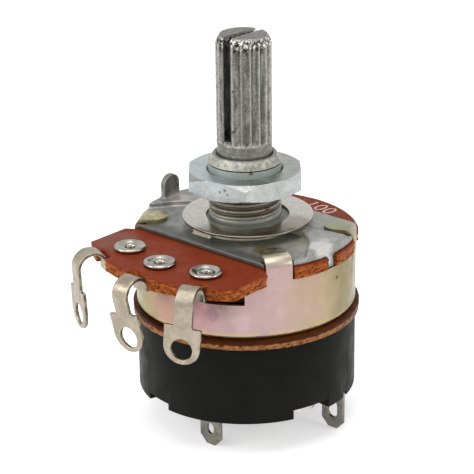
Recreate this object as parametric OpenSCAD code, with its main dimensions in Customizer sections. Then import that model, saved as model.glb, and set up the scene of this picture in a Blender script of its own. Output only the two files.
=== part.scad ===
// Rotary potentiometer with a rear on/off switch.
// Z = 0 is the face that meets the panel, +Z runs along the shaft,
// -Y points to the terminals and -X to the locating lug.

/* [Shaft] */
// Diameter over the knurl of the shaft
shaft_d = 6; // [4:0.1:8]
// Depth of the knurl grooves
knurl_depth = 0.32; // [0.1:0.02:0.5]
// Number of knurl teeth
knurl_teeth = 18; // [12:1:24]
// Angle of the first knurl tooth from the X axis
knurl_turn = 6; // [0:1:20]
// Length of the knurled part
knurl_len = 10.8; // [6:0.1:20]
// Height of the shaft's tip above the panel face
shaft_reach = 20.3; // [16:0.1:40]
// Length of the tapered tip
tip_len = 1; // [0.3:0.1:2]
// Amount that the tip's radius shrinks
tip_taper = 0.5; // [0.1:0.05:1]
// Width of the slot across the knurl
slot_w = 1; // [0.5:0.1:2]
// Depth of the slot
slot_depth = 11.3; // [4:0.1:14]
// Radial running clearance of the shaft in its bush
shaft_clear = 0.07; // [0.02:0.01:0.1]
// Total turn of the shaft in degrees
shaft_travel = 300; // [240:5:310]

/* [Bush and plate] */
// Outer diameter of the bush thread
bush_d = 7.9; // [7:0.1:10]
// Height of the bush above the panel face
bush_h = 7.3; // [5:0.1:12]
// Height of the chamfer at the top of the bush
bush_chamfer = 0.9; // [0.2:0.1:1.5]
// Diameter of the boss that meets the panel
boss_d = 10.4; // [9.6:0.1:12]
// Height of the boss above the plate
boss_h = 1.05; // [0.6:0.05:3]
// Thickness of the plate
plate_t = 0.57; // [0.4:0.01:1.5]
// Depth of the plate from its axis to the terminal side
plate_front = 7.5; // [6.5:0.1:9]
// Depth of the plate from its axis to the far side
plate_back = 8.1; // [6.5:0.1:9]
// Height of the raised wings above the plate
wing_h = 0.6; // [0.2:0.05:0.9]
// Width of the locating lug
locator_w = 2.4; // [1.5:0.1:4]
// Thickness of the locating lug
locator_t = 0.75; // [0.5:0.05:1.2]
// Height of the locating lug above the panel face
locator_h = 2.2; // [1:0.1:4]
// Width of the two teeth that key the board
tooth_w = 1; // [0.6:0.1:2]

/* [Nut and washer] */
// Size of the nut across its flats
nut_af = 12; // [10.5:0.1:14]
// Thickness of the nut
nut_t = 2; // [1.2:0.1:4]
// Height of the nut's underside above the panel face
nut_lift = 3.55; // [0.6:0.05:5.5]
// Radial clearance of the nut on the bush
nut_clear = 0.05; // [0.02:0.01:0.1]
// Outer diameter of the washer
washer_d = 14.25; // [12:0.05:17]
// Hole of the washer
washer_hole = 9; // [8.6:0.1:10]
// Thickness of the washer
washer_t = 0.25; // [0.2:0.05:1]
// Distance that the loose washer lies off the axis
washer_shift = 0.27; // [0:0.01:0.4]

/* [Element board] */
// Thickness of the board
board_t = 1.4; // [0.8:0.1:2]
// Distance that the board stands out beyond the cover
board_rim = 0.3; // [0.1:0.05:1]
// Width of the tongue that carries the terminals
tongue_w = 20.6; // [18:0.1:23]
// Distance from the cover's wall to the tongue's outer edge
tongue_reach = 4.9; // [4:0.1:8]
// Depth of the notch behind each terminal
terminal_notch = 0.9; // [0.6:0.1:1.4]
// Central hole of the board
board_hole = 9.4; // [8.8:0.1:10.5]
// Angle between neighbouring terminals
terminal_pitch = 24; // [20:0.5:28]
// Distance from the cover's wall to the terminal rivets
rivet_reach = 1.4; // [1:0.1:2.5]
// Thickness of the printed tracks
track_t = 0.05; // [0.03:0.01:0.1]
// Distance from the cover's inner wall to the resistive track
track_margin = 1.3; // [0.7:0.1:1.9]
// Width of the resistive track
carbon_w = 2; // [1:0.1:2.2]
// Distance between the resistive track and the collector ring
track_gap = 1; // [0.8:0.1:1.6]
// Width of the collector ring
collector_w = 1.6; // [0.8:0.1:1.8]

/* [Terminals] */
// Thickness of the terminal strip
strip_t = 0.4; // [0.2:0.05:0.6]
// Width of the terminal strip
strip_w = 2; // [1.4:0.1:2.4]
// Outer radius of the arch over the board's edge
arch_r = 1.8; // [1.6:0.1:2.6]
// Distance from the arch's centre to the wire hole
leg_len = 4; // [3:0.1:8]
// Diameter of the ring end
ring_d = 4; // [3.2:0.1:5]
// Diameter of the wire hole
wire_hole = 2.3; // [1:0.1:2.4]
// Distance that the wire hole lies below the centre of the ring end
wire_hole_drop = 0.35; // [0:0.05:0.5]
// Diameter of a rivet head
rivet_head_d = 3.45; // [2.6:0.05:4]
// Height of a rivet head
rivet_head_h = 0.5; // [0.3:0.05:0.8]
// Diameter of a rivet's shank
rivet_shank_d = 1.6; // [1.2:0.1:2]

/* [Cover] */
// Outer diameter of the steel cover, and of the switch housing
cover_d = 24; // [23:0.1:30]
// Height of the cover's wall
cover_h = 6.38; // [5.9:0.02:9]
// Thickness of the cover's sheet
cover_t = 0.5; // [0.3:0.05:0.6]
// Width of a folded tab
tab_w = 2.85; // [2:0.05:3]
// Angle of a tab from the X axis
tab_angle = 31.5; // [28:0.5:34]
// Length of a tab's folded part, from the cover's wall to its tip
tab_len = 3.4; // [2.6:0.1:4]
// Inner radius of a tab's fold
tab_bend = 0.6; // [0.3:0.05:0.8]
// Depth of the notch below the terminals
notch_depth = 2.48; // [1.2:0.02:3]
// Half of the angle that the notch spans
notch_half = 41; // [38:0.5:44]

/* [Switch] */
// Distance that the disc stands out between cover and housing
disc_rim = 0.44; // [0.1:0.02:1]
// Thickness of the disc
disc_t = 1.1; // [0.6:0.1:2]
// Height of the switch housing
housing_h = 8.7; // [8.2:0.1:14]
// Thickness of the housing's wall
housing_wall = 1.1; // [0.8:0.05:1.6]
// Thickness of the housing's floor
housing_floor = 1.2; // [0.8:0.1:2]
// Depth of the hollow under the floor
underside_depth = 0.5; // [0.2:0.1:1]
// Height of the notches in the housing's rim
rim_notch = 1.05; // [0.4:0.05:1.6]
// Distance that the switch lugs reach below the housing
lug_reach = 4.3; // [3:0.1:8]
// Width of a switch lug
lug_w = 3; // [2.2:0.1:3.2]
// Hole of the front switch lug
front_lug_hole = 0.9; // [0.6:0.1:1.4]
// Hole of the side switch lug
side_lug_hole = 1.3; // [0.8:0.1:1.6]
// Distance from the housing's inner wall to the lever's pivot
pivot_margin = 3.9; // [3.5:0.1:4.3]
// Direction of the lever's pivot from the axis
pivot_angle = -27; // [-32:1:-22]

/* [Hidden] */
$fn = 96;
hole_fn = 48;
eps = 0.01;
fit_gap = 0.05;
free_gap = 0.15;
lug_margin = 0.5;

// Body sizes that follow the cover
board_d = cover_d + board_rim * 2;
disc_d = cover_d + disc_rim * 2;
housing_d = cover_d;
tongue_r = cover_d / 2 + tongue_reach;
rivet_r = cover_d / 2 + rivet_reach;
carbon_r = cover_d / 2 - cover_t - track_margin;
collector_r = carbon_r - carbon_w - track_gap;
tab_tip_r = cover_d / 2 - tab_len;

// Levels, from the panel face down
plate_top = -boss_h;
plate_bottom = plate_top - plate_t;
board_bottom = plate_bottom - board_t;
cover_bottom = board_bottom - cover_h;
cover_inside = cover_bottom + cover_t;
disc_bottom = cover_bottom - disc_t;
housing_bottom = disc_bottom - housing_h;
underside = housing_bottom + underside_depth;
floor_top = underside + housing_floor;
lug_tip = housing_bottom - lug_reach;

// Shaft and what rides on it
shaft_r = shaft_d / 2;
bush_bore = shaft_r + fit_gap / 2;
neck_r = bush_bore - shaft_clear;
knurl_top = shaft_reach - tip_len;
knurl_bottom = knurl_top - knurl_len;
groove_side = knurl_depth * sqrt(2);
clip_t = 0.6;
clip_r = neck_r + 1.2;
clip_groove_r = neck_r - 0.6;
clip_top = plate_bottom - fit_gap;
shoulder = board_bottom;
tail_r = neck_r - 0.5;
tail_flat = tail_r * 0.72;
hub_r = tail_r + 1.15;
wiper_base_t = 0.2;
rotor_top = board_bottom - 1;
rotor_t = 1.6;
rotor_bottom = rotor_top - rotor_t;
rotor_r = cover_d / 2 - cover_t - 0.7;
driver_t = 0.4;
driver_bottom = rotor_bottom - driver_t;
tail_clip_t = 0.5;
tail_bottom = driver_bottom - tail_clip_t - 0.5;
tail_groove_r = tail_flat - 0.1;
drive_pin_r = 0.6;
drive_pin_orbit = tail_r + 0.95;

// Plate outline
plate_r = cover_d / 2;
tooth_in = plate_r - 0.9;
tooth_depth = board_t - 0.1;
tab_side = tab_bend + cover_t;
tab_fold_r = plate_r - tab_side;
plate_chord = tab_fold_r - 0.2;
notch_gap = 0.15;

// Terminals
arch_in = arch_r - strip_t;
board_edge_gap = 0.1;
arch_centre = tongue_r - terminal_notch + board_edge_gap + arch_r;
strip_start = cover_d / 2 - 0.3;
clinch_h = 0.35;
shoulder_drop = 1.5;

// Each terminal as it was bent by hand: twist about its rivet, rise of its arch, lean toward
// the cover, sideways tilt, and extra length of its leg
left_bend = [0, 0.7, 2, 2, 0.35];
centre_bend = [2, 0.2, 6, 10, 0.1];
right_bend = [-2.5, 0.5, 1, -5, 0];

// Rotation stop inside the cover
stop_w = 2.6;
stop_r = rotor_r - 1.2;
stop_half = atan(stop_w / 2 / stop_r);
stop_top = cover_inside + 2.6;
stop_lug_half = (360 - shaft_travel) / 2 - stop_half - 0.6;

// Switch
cavity_r = housing_d / 2 - housing_wall;
rim_r = cavity_r - 0.4;
pivot_r = cavity_r - pivot_margin;
centre_hole_r = drive_pin_orbit + drive_pin_r + 0.6;
pivot_pin_r = 0.8;
hub_lever_r = 1.7;
prong_t = 0.9;
prong_gap = drive_pin_r + free_gap;
fork_top = disc_bottom - 1;
fork_t = 2;
drive_pin_tip = fork_top - fork_t + 0.2;
lever_bottom = floor_top + 0.8;
contact_arm_t = 1.2;
contact_head_h = 0.4;
contact_spread = 19;
contact_r = pivot_r + 1.3;
contact_head_r = 0.7;
blade_t = 0.3;
blade_bottom = floor_top + contact_head_h + fit_gap;
lug_t = 0.4;
lug_head_r = 2;
lug_head_h = 0.6;
lug_foot_w = 2.4;
front_lug_at = [lug_w / 2 + 1, -rim_r + lug_margin * 4];
side_lug_at = [rim_r - lug_margin, lug_w / 2 + 1.7];
clamp_rivet_angles = [63, 243];
clamp_column_r = 1.9;
clamp_rivet_r = cavity_r - clamp_column_r - 0.2;
clamp_shank_r = 0.8;
clamp_head_r = 1.5;
clamp_head_h = 0.4;
leaf_t = 0.3;
leaf_h = 2;
leaf_bottom = floor_top + 1.6;
leaf_nose = hub_lever_r + fit_gap + leaf_t;
leaf_wing = 4.6;
leaf_spread = 52;
leaf_turn = -8;
post_r = 0.7;

// Washer-like ring standing on z
module ring(r_out, r_in, h, z = 0) {
    translate([0, 0, z]) difference() {
        cylinder(r = r_out, h = h);
        translate([0, 0, -1]) cylinder(r = r_in, h = h + 2);
    }
}

// Part of a ring between two angles
module arc_band(r_out, r_in, h, z, from, to) {
    translate([0, 0, z]) rotate(from)
        rotate_extrude(angle = to - from) translate([r_in, 0]) square([r_out - r_in, h]);
}

// Places its children at each of the four cover tabs
module at_tabs() {
    for (a = [tab_angle, 180 - tab_angle, 180 + tab_angle, -tab_angle]) rotate(a) children();
}

module shaft() {
    color([0.6, 0.6, 0.6]) difference() {
        union() {
            // knurled length and its tapered tip, cut by the same grooves
            difference() {
                union() {
                    translate([0, 0, knurl_bottom]) cylinder(r = shaft_r, h = knurl_len);
                    translate([0, 0, knurl_top])
                        cylinder(r1 = shaft_r, r2 = shaft_r - tip_taper, h = tip_len);
                }
                for (i = [0 : knurl_teeth - 1]) rotate((i + 0.5) * 360 / knurl_teeth + knurl_turn)
                    translate([shaft_r, 0, knurl_bottom - 1]) rotate(45)
                        translate([-groove_side / 2, -groove_side / 2, 0])
                            cube([groove_side, groove_side, knurl_len + tip_len + 2]);
            }
            translate([0, 0, shoulder]) cylinder(r = neck_r, h = knurl_bottom - shoulder + eps);
            // flatted tail that drives the rotor
            intersection() {
                translate([0, 0, tail_bottom]) cylinder(r = tail_r, h = shoulder - tail_bottom + 0.2);
                translate([-tail_flat, -tail_r - 1, tail_bottom - 1])
                    cube([tail_flat * 2, tail_r * 2 + 2, shoulder - tail_bottom + 2]);
            }
        }
        // slot across the knurl
        translate([-slot_w / 2, -shaft_d, shaft_reach - slot_depth])
            cube([slot_w, shaft_d * 2, slot_depth + 1]);
        // groove of the retaining clip, and the one at the tail's end
        translate([0, 0, clip_top - clip_t - fit_gap]) ring(shaft_d, clip_groove_r, clip_t + fit_gap * 2);
        translate([0, 0, driver_bottom - tail_clip_t - fit_gap])
            ring(shaft_d, tail_groove_r, tail_clip_t + fit_gap);
    }
}

// Split retaining ring with its gap toward +Y
module split_ring(r_out, r_in, h, z) {
    difference() {
        ring(r_out, r_in, h, z);
        translate([-r_in * 0.6, 0, z - 1]) cube([r_in * 1.2, r_out + 1, h + 2]);
    }
}

module shaft_clip() {
    color([0.5, 0.5, 0.52]) split_ring(clip_r, clip_groove_r + fit_gap, clip_t, clip_top - clip_t);
}

module rotor_clip() {
    color([0.5, 0.5, 0.52])
        split_ring(drive_pin_orbit - drive_pin_r - 0.1, tail_groove_r + fit_gap,
            tail_clip_t - fit_gap, driver_bottom - tail_clip_t);
}

// Section of the flatted tail, grown by a gap
module tail_section(gap) {
    intersection() {
        circle(r = tail_r + gap);
        square([(tail_flat + gap) * 2, tail_r * 3], center = true);
    }
}

module rotor() {
    color([0.25, 0.2, 0.16]) difference() {
        union() {
            translate([0, 0, rotor_bottom]) cylinder(r = rotor_r, h = rotor_t);
            translate([0, 0, rotor_top - eps])
                cylinder(r = hub_r, h = shoulder - fit_gap - rotor_top + eps);
            // lug that meets the stop at both ends of the travel
            arc_band(rotor_r - 0.1, stop_r, 2 + eps * 2, rotor_bottom - 2, 90 - stop_lug_half,
                90 + stop_lug_half);
        }
        translate([0, 0, rotor_bottom - 3]) linear_extrude(rotor_t + 8) tail_section(fit_gap / 2);
    }
}

// Spring finger that rises from the bridge toward a track
module wiper_finger(reach, w) {
    top = board_bottom - track_t - fit_gap;
    rotate([90, 0, 90]) translate([0, 0, -w / 2]) linear_extrude(w) polygon([
        [0, rotor_top], [reach * 0.4, rotor_top + 0.12], [reach * 0.86, top - 0.2],
        [reach * 1.05, top - 0.25], [reach * 1.05, top - 0.05], [reach * 0.93, top], [reach * 0.84, top - 0.02],
        [reach * 0.38, rotor_top + wiper_base_t + 0.1], [0, rotor_top + wiper_base_t]]);
}

module wiper() {
    bridge_w = 1.6;
    color([0.8, 0.6, 0.3]) union() {
        ring(hub_r + 1.2, hub_r + fit_gap, wiper_base_t, rotor_top);
        translate([-bridge_w / 2, hub_r + 0.6, rotor_top])
            cube([bridge_w, carbon_r - hub_r - 0.7, wiper_base_t]);
        for (side = [0, 1]) mirror([side, 0, 0]) {
            translate([bridge_w / 2 - eps, carbon_r - carbon_w - 0.1, 0]) rotate(-90)
                wiper_finger(3.6, 0.9);
            translate([bridge_w / 2 - eps, collector_r - collector_w - 0.1, 0]) rotate(-90)
                wiper_finger(2.6, 0.8);
        }
    }
}

module switch_driver() {
    color([0.7, 0.68, 0.6]) {
        difference() {
            translate([0, 0, driver_bottom]) cylinder(r = drive_pin_orbit + 1.1, h = driver_t);
            translate([0, 0, driver_bottom - 1]) linear_extrude(driver_t + 2) tail_section(fit_gap / 2);
        }
        rotate(pivot_angle - shaft_travel / 2)
            translate([drive_pin_orbit, 0, drive_pin_tip])
                cylinder(r = drive_pin_r, h = driver_bottom - drive_pin_tip + eps, $fn = hole_fn);
    }
}

// Outline of the plate: flat front and back, round sides, a chord under each tab
module plate_outline() {
    difference() {
        intersection() {
            circle(r = plate_r);
            translate([-plate_r, -plate_front]) square([plate_r * 2, plate_front + plate_back]);
        }
        for (a = [tab_angle, 180 - tab_angle, 180 + tab_angle, -tab_angle]) rotate(a)
            translate([plate_chord, -tab_w / 2 - notch_gap]) square([plate_r, tab_w + notch_gap * 2]);
    }
}

// Raised wing between two tab pockets, on the +X side
module wing_outline() {
    intersection() {
        circle(r = plate_r - 0.1);
        polygon([[0, 1], [plate_r * 0.6, 1], [plate_r * 0.72, 0.2], [plate_r * 0.83, -1.2],
            [plate_r * 0.9, -2.6], [plate_r, -4], [plate_r * 1.1, 0], [plate_r, 3.4],
            [plate_r * 0.75, 3.1], [plate_r * 0.6, 2.4], [0, 2.4]]);
    }
}

module bushing_plate() {
    locator_root = plate_top - 0.1;
    locator_round = locator_w / 2;
    color([0.55, 0.55, 0.54]) difference() {
        union() {
            translate([0, 0, plate_bottom]) linear_extrude(plate_t) plate_outline();
            translate([0, 0, plate_bottom]) cylinder(d = boss_d, h = -plate_bottom);
            for (side = [0, 1]) mirror([side, 0, 0])
                translate([0, 0, plate_top - eps]) linear_extrude(wing_h + eps) wing_outline();
            // pad on the terminal side of the boss
            translate([-2.4, -boss_d / 2 - 0.6, plate_top - eps]) cube([2.6, 2, wing_h + eps]);
            // bush, drawn in to a chamfer at its top
            translate([0, 0, -eps]) cylinder(d = bush_d, h = bush_h - bush_chamfer + eps);
            translate([0, 0, bush_h - bush_chamfer])
                cylinder(d1 = bush_d, d2 = bush_d - bush_chamfer * 1.3, h = bush_chamfer);
            // two teeth that key the element board
            for (side = [0, 180]) rotate(side)
                translate([tooth_in, -tooth_w / 2, plate_bottom - tooth_depth])
                    cube([plate_r - tooth_in - 0.05, tooth_w, tooth_depth + plate_t]);
            // locating lug with a round top
            translate([-plate_r + 0.4, 0, 0]) rotate([90, 0, 90]) {
                translate([-locator_w / 2, locator_root]) linear_extrude(locator_t)
                    square([locator_w, locator_h - locator_round - locator_root]);
                translate([0, locator_h - locator_round])
                    cylinder(r = locator_round, h = locator_t, $fn = hole_fn);
            }
        }
        translate([0, 0, plate_bottom - 1]) cylinder(r = bush_bore, h = bush_h - plate_bottom + 2);
        translate([0, 0, bush_h - 0.2]) cylinder(r1 = bush_bore, r2 = bush_bore + 0.25, h = 0.25);
    }
}

module flat_washer() {
    color([0.78, 0.77, 0.75]) rotate(42) translate([washer_shift, 0, 0])
        ring(washer_d / 2, washer_hole / 2, washer_t);
}

module hex_nut() {
    corner_r = nut_af / 2 / cos(30);
    bevel = (corner_r - nut_af / 2) * 0.9;
    bore = bush_d / 2 + nut_clear;
    color([0.72, 0.76, 0.8]) translate([0, 0, nut_lift]) difference() {
        intersection() {
            rotate(12) cylinder(r = corner_r, h = nut_t, $fn = 6);
            // both faces are turned off at about 30 degrees
            union() {
                cylinder(r1 = corner_r - bevel, r2 = corner_r + eps, h = bevel * 0.6);
                translate([0, 0, bevel * 0.6]) cylinder(r = corner_r + eps, h = nut_t - bevel * 1.2);
                translate([0, 0, nut_t - bevel * 0.6])
                    cylinder(r1 = corner_r + eps, r2 = corner_r - bevel, h = bevel * 0.6);
            }
        }
        translate([0, 0, -1]) cylinder(r = bore, h = nut_t + 2);
        translate([0, 0, -eps]) cylinder(r1 = bore + 0.35, r2 = bore, h = 0.35);
        translate([0, 0, nut_t - 0.35 + eps]) cylinder(r1 = bore, r2 = bore + 0.35, h = 0.35);
    }
}

// Places its children at each terminal, left to right
module at_terminals() {
    for (i = [-1, 0, 1]) rotate(-90 + i * terminal_pitch) children();
}

module element_board() {
    notch_w = strip_w + 0.4;
    tab_slot_r = cover_d / 2 - cover_t - 0.15;
    color([0.6, 0.26, 0.14]) translate([0, 0, board_bottom]) difference() {
        linear_extrude(board_t) difference() {
            union() {
                circle(d = board_d);
                intersection() {
                    circle(r = tongue_r);
                    translate([-tongue_w / 2, -tongue_r - 1]) square([tongue_w, tongue_r + 1]);
                }
            }
            at_terminals() translate([arch_centre - arch_r - board_edge_gap, -notch_w / 2])
                square([4, notch_w]);
            at_tabs() translate([tab_slot_r, -tab_w / 2 - notch_gap])
                square([board_d, tab_w + notch_gap * 2]);
            for (side = [0, 180]) rotate(side)
                translate([tooth_in - notch_gap, -tooth_w / 2 - notch_gap])
                    square([4, tooth_w + notch_gap * 2]);
        }
        translate([0, 0, -1]) cylinder(d = board_hole, h = board_t + 2);
        at_terminals() translate([rivet_r, 0, -1])
            cylinder(d = rivet_shank_d + fit_gap * 2, h = board_t + 2, $fn = hole_fn);
    }
}

module carbon_track() {
    gap_half = terminal_pitch - 4;
    lead_w = strip_w - 0.2;
    color([0.12, 0.12, 0.12]) translate([0, 0, board_bottom - track_t]) linear_extrude(track_t) {
        difference() {
            circle(r = carbon_r);
            circle(r = carbon_r - carbon_w);
            polygon([[0, 0], for (side = [-1, 1]) carbon_r * 2 * [side * sin(gap_half), -cos(gap_half)]]);
        }
        for (i = [-1, 1]) rotate(-90 + i * terminal_pitch)
            translate([carbon_r - carbon_w / 2, -lead_w / 2])
                square([strip_start - carbon_r + carbon_w / 2, lead_w]);
    }
}

module collector_track() {
    lead_w = strip_w - 0.2;
    color([0.75, 0.75, 0.72]) translate([0, 0, board_bottom - track_t]) linear_extrude(track_t) {
        difference() {
            circle(r = collector_r);
            circle(r = collector_r - collector_w);
        }
        translate([-lead_w / 2, -strip_start])
            square([lead_w, strip_start - collector_r + collector_w / 2]);
    }
}

// Turns its children about the terminal's rivet
module about_rivet(twist) {
    translate([rivet_r, 0, 0]) rotate(twist) translate([-rivet_r, 0, 0]) children();
}

// Places its children at the top of a terminal's leg, with z down the leg
module on_leg(bend) {
    about_rivet(bend[0]) translate([arch_centre, 0, board_bottom - strip_t + bend[1]])
        rotate([0, bend[2], 0]) translate([arch_in, 0, 0]) rotate([bend[3], 0, 0]) children();
}

// One terminal at angle a, bent as the list says
module terminal(a, bend) {
    foot_z = board_bottom - strip_t;
    foot_start = strip_start + fit_gap;
    rise = bend[1];
    hole_z = -leg_len - rise - bend[4];
    ring_z = hole_z + wire_hole_drop;
    shoulder_z = -shoulder_drop - rise;
    leg_root = 0.25;
    color([0.75, 0.72, 0.66]) rotate(a) difference() {
        union() {
            about_rivet(bend[0]) {
                // foot under the board
                translate([foot_start, -strip_w / 2, foot_z])
                    cube([arch_centre - arch_in - foot_start, strip_w, strip_t]);
                // rise in the board's notch, and the arch over its edge
                translate([arch_centre - arch_r, -strip_w / 2, foot_z])
                    cube([strip_t, strip_w, rise + eps]);
                translate([arch_centre, 0, foot_z + rise])
                    rotate([-90, 180, 0]) bent_strip(180 + bend[2]);
            }
            on_leg(bend) {
                translate([0, -strip_w / 2, shoulder_z]) cube([strip_t, strip_w, leg_root - shoulder_z]);
                translate([0, -ring_d / 2, ring_z]) cube([strip_t, ring_d, shoulder_z - ring_z]);
                translate([0, 0, ring_z]) rotate([0, 90, 0])
                    cylinder(d = ring_d, h = strip_t, $fn = hole_fn);
            }
        }
        // rivet hole in the foot
        translate([rivet_r, 0, foot_z - 1])
            cylinder(d = rivet_shank_d + fit_gap * 2, h = strip_t + 2, $fn = hole_fn);
        // wire hole in the ring end
        on_leg(bend) translate([-1, 0, hole_z]) rotate([0, 90, 0])
            cylinder(d = wire_hole, h = strip_t + 2, $fn = hole_fn);
    }
}

// Strip bent round the arch through an angle
module bent_strip(turn) {
    translate([0, 0, -strip_w / 2]) rotate_extrude(angle = turn) translate([arch_in, 0])
        square([strip_t, strip_w]);
}

module terminal_left() { terminal(-90 - terminal_pitch, left_bend); }

module terminal_centre() { terminal(-90, centre_bend); }

module terminal_right() { terminal(-90 + terminal_pitch, right_bend); }

// Hollow rivet: rolled head with a dish in it above, clinched rim below the strip
module hollow_rivet() {
    head_r = rivet_head_d / 2;
    head_top = plate_bottom + rivet_head_h;
    shank_r = rivet_shank_d / 2;
    dimple_r = shank_r * 0.62;
    clinch = board_bottom - strip_t - clinch_h;
    rotate_extrude($fn = hole_fn) polygon([
        [dimple_r, clinch], [shank_r + 0.5, clinch], [shank_r + 0.5, clinch + clinch_h],
        [shank_r, clinch + clinch_h], [shank_r, plate_bottom], [head_r * 0.86, plate_bottom],
        [head_r * 0.97, plate_bottom + rivet_head_h * 0.3], [head_r, plate_bottom + rivet_head_h * 0.6],
        [head_r * 0.97, plate_bottom + rivet_head_h * 0.9], [head_r * 0.88, head_top],
        [head_r * 0.66, plate_bottom + rivet_head_h * 0.84],
        [dimple_r * 1.35, plate_bottom + rivet_head_h * 0.66],
        [dimple_r, plate_bottom + rivet_head_h * 0.4]]);
}

module terminal_rivets() {
    color([0.82, 0.82, 0.8]) at_terminals() translate([rivet_r, 0, 0]) hollow_rivet();
}

// Tab that rises through the board and folds in over the plate
module cover_tab() {
    fold_z = plate_top - tab_bend;
    root_z = board_bottom - 0.8;
    intersection() {
        rotate([90, 0, 0]) translate([0, 0, -tab_w / 2]) linear_extrude(tab_w) {
            translate([cover_d / 2 - cover_t, root_z]) square([cover_t, fold_z - root_z]);
            intersection() {
                translate([tab_fold_r, fold_z]) difference() {
                    circle(r = tab_bend + cover_t, $fn = hole_fn);
                    circle(r = tab_bend, $fn = hole_fn);
                }
                translate([tab_fold_r, fold_z]) square(tab_side);
            }
            translate([tab_tip_r, plate_top]) square([tab_fold_r - tab_tip_r, cover_t]);
        }
        translate([0, 0, root_z - 1]) linear_extrude(5) {
            translate([tab_tip_r + tab_w / 2, -tab_w / 2]) square([cover_d / 2, tab_w]);
            translate([tab_tip_r + tab_w / 2, 0]) circle(d = tab_w, $fn = hole_fn);
        }
    }
}

module cover() {
    edge = 0.5;
    r_out = cover_d / 2;
    r_in = r_out - cover_t;
    color([0.8, 0.7, 0.62]) union() {
        difference() {
            // drawn can with a rounded bottom edge
            rotate_extrude() difference() {
                union() {
                    translate([0, cover_bottom + edge]) square([r_out, cover_h - edge]);
                    translate([0, cover_bottom]) square([r_out - edge, edge + eps]);
                    translate([r_out - edge, cover_bottom + edge]) circle(r = edge, $fn = hole_fn);
                }
                translate([0, cover_inside]) square([r_in, cover_h]);
                translate([-1, cover_bottom - 1]) square([centre_hole_r + 1, cover_h]);
                translate([-r_out, cover_bottom - 1]) square([r_out, cover_h + 2]);
            }
            // notch below the terminals
            arc_band(r_out + 1, r_in - 1, notch_depth + 1, board_bottom - notch_depth, -90 - notch_half,
                -90 + notch_half);
            // opening that the rotation stop is bent out of
            translate([-stop_w / 2, -stop_r, cover_bottom - 1])
                cube([stop_w, stop_top - cover_inside, cover_t + 2]);
            for (a = clamp_rivet_angles) rotate(a) translate([clamp_rivet_r, 0, cover_bottom - 1])
                cylinder(r = clamp_shank_r + fit_gap, h = 3, $fn = hole_fn);
        }
        translate([-stop_w / 2, -stop_r - cover_t, cover_bottom + eps])
            cube([stop_w, cover_t + eps, stop_top - cover_bottom]);
        at_tabs() cover_tab();
    }
}

module switch_disc() {
    color([0.5, 0.26, 0.12]) difference() {
        translate([0, 0, disc_bottom]) cylinder(d = disc_d, h = disc_t);
        translate([0, 0, disc_bottom - 1]) cylinder(r = centre_hole_r + 0.3, h = disc_t + 2);
        for (a = clamp_rivet_angles) rotate(a) translate([clamp_rivet_r, 0, disc_bottom - 1])
            cylinder(r = clamp_shank_r + fit_gap, h = disc_t + 2, $fn = hole_fn);
    }
}

// Places its children at the two fixed contacts
module at_contacts() {
    for (side = [-1, 1]) rotate(pivot_angle + side * contact_spread) translate([contact_r, 0, 0]) children();
}

module switch_housing() {
    r_out = housing_d / 2;
    color([0.13, 0.13, 0.12]) difference() {
        union() {
            difference() {
                translate([0, 0, housing_bottom]) cylinder(r = r_out, h = housing_h);
                translate([0, 0, floor_top]) cylinder(r = cavity_r, h = housing_h);
                translate([0, 0, housing_bottom - 1]) cylinder(r = rim_r, h = underside_depth + 1);
            }
            // columns of the rivets that clamp the stack
            for (a = clamp_rivet_angles) rotate(a) translate([clamp_rivet_r, 0, floor_top - 0.2])
                cylinder(r = clamp_column_r, h = disc_bottom - floor_top + 0.2, $fn = hole_fn);
            // seat of the lever's pivot
            rotate(pivot_angle) translate([pivot_r, 0, floor_top - 0.2])
                cylinder(r = pivot_pin_r + 0.6, h = 0.6, $fn = hole_fn);
            // post behind the inner wing of the snap spring
            at_leaf(-1) translate([leaf_wing * 0.85, leaf_t / 2 + fit_gap + post_r, floor_top - 0.2])
                cylinder(r = post_r, h = leaf_bottom + leaf_h - floor_top, $fn = hole_fn);
        }
        // notches of the rim, and shallower ones beside them
        for (a = [0, 180]) rotate(a) {
            arc_band(r_out + 1, rim_r - 0.5, rim_notch + 1, housing_bottom - 1, -24, -1);
            arc_band(r_out + 1, rim_r - 0.5, rim_notch * 0.7 + 1, housing_bottom - 1, -110, -93.5);
        }
        // slot that the side lug leaves by
        translate([side_lug_at[0] - lug_w / 2 - 0.3, side_lug_at[1] - lug_t - 0.2, housing_bottom - 1])
            cube([lug_w + 3, lug_t + 0.4, underside_depth + 1]);
        for (a = clamp_rivet_angles) rotate(a) translate([clamp_rivet_r, 0, housing_bottom - 1])
            cylinder(r = clamp_shank_r + fit_gap, h = housing_h + 2, $fn = hole_fn);
        rotate(pivot_angle) translate([pivot_r, 0, underside - 1])
            cylinder(r = pivot_pin_r + fit_gap / 2, h = housing_floor + 2, $fn = hole_fn);
        at_contacts() translate([0, 0, underside - 1])
            cylinder(r = clamp_shank_r + fit_gap, h = housing_floor + 2, $fn = hole_fn);
    }
}

// Tubular rivet between two levels, with a head at each end
module tube_rivet(low, high, low_r, high_r, low_h, high_h) {
    bore_r = clamp_shank_r * 0.6;
    difference() {
        union() {
            translate([0, 0, low - low_h]) cylinder(r = low_r, h = low_h, $fn = hole_fn);
            translate([0, 0, low - eps])
                cylinder(r = clamp_shank_r, h = high - low + eps * 2, $fn = hole_fn);
            translate([0, 0, high]) cylinder(r = high_r, h = high_h, $fn = hole_fn);
        }
        translate([0, 0, low - low_h - 1]) cylinder(r = bore_r, h = high - low + low_h, $fn = hole_fn);
    }
}

module housing_rivets() {
    color([0.78, 0.78, 0.76]) for (a = clamp_rivet_angles) rotate(a) translate([clamp_rivet_r, 0, 0])
        tube_rivet(underside, cover_inside, clamp_head_r, clamp_head_r, clamp_head_h, clamp_head_h);
}

module contact_rivets() {
    color([0.82, 0.81, 0.78]) at_contacts()
        tube_rivet(underside - lug_t, floor_top, lug_head_r, contact_head_r, lug_head_h, contact_head_h);
}

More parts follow.
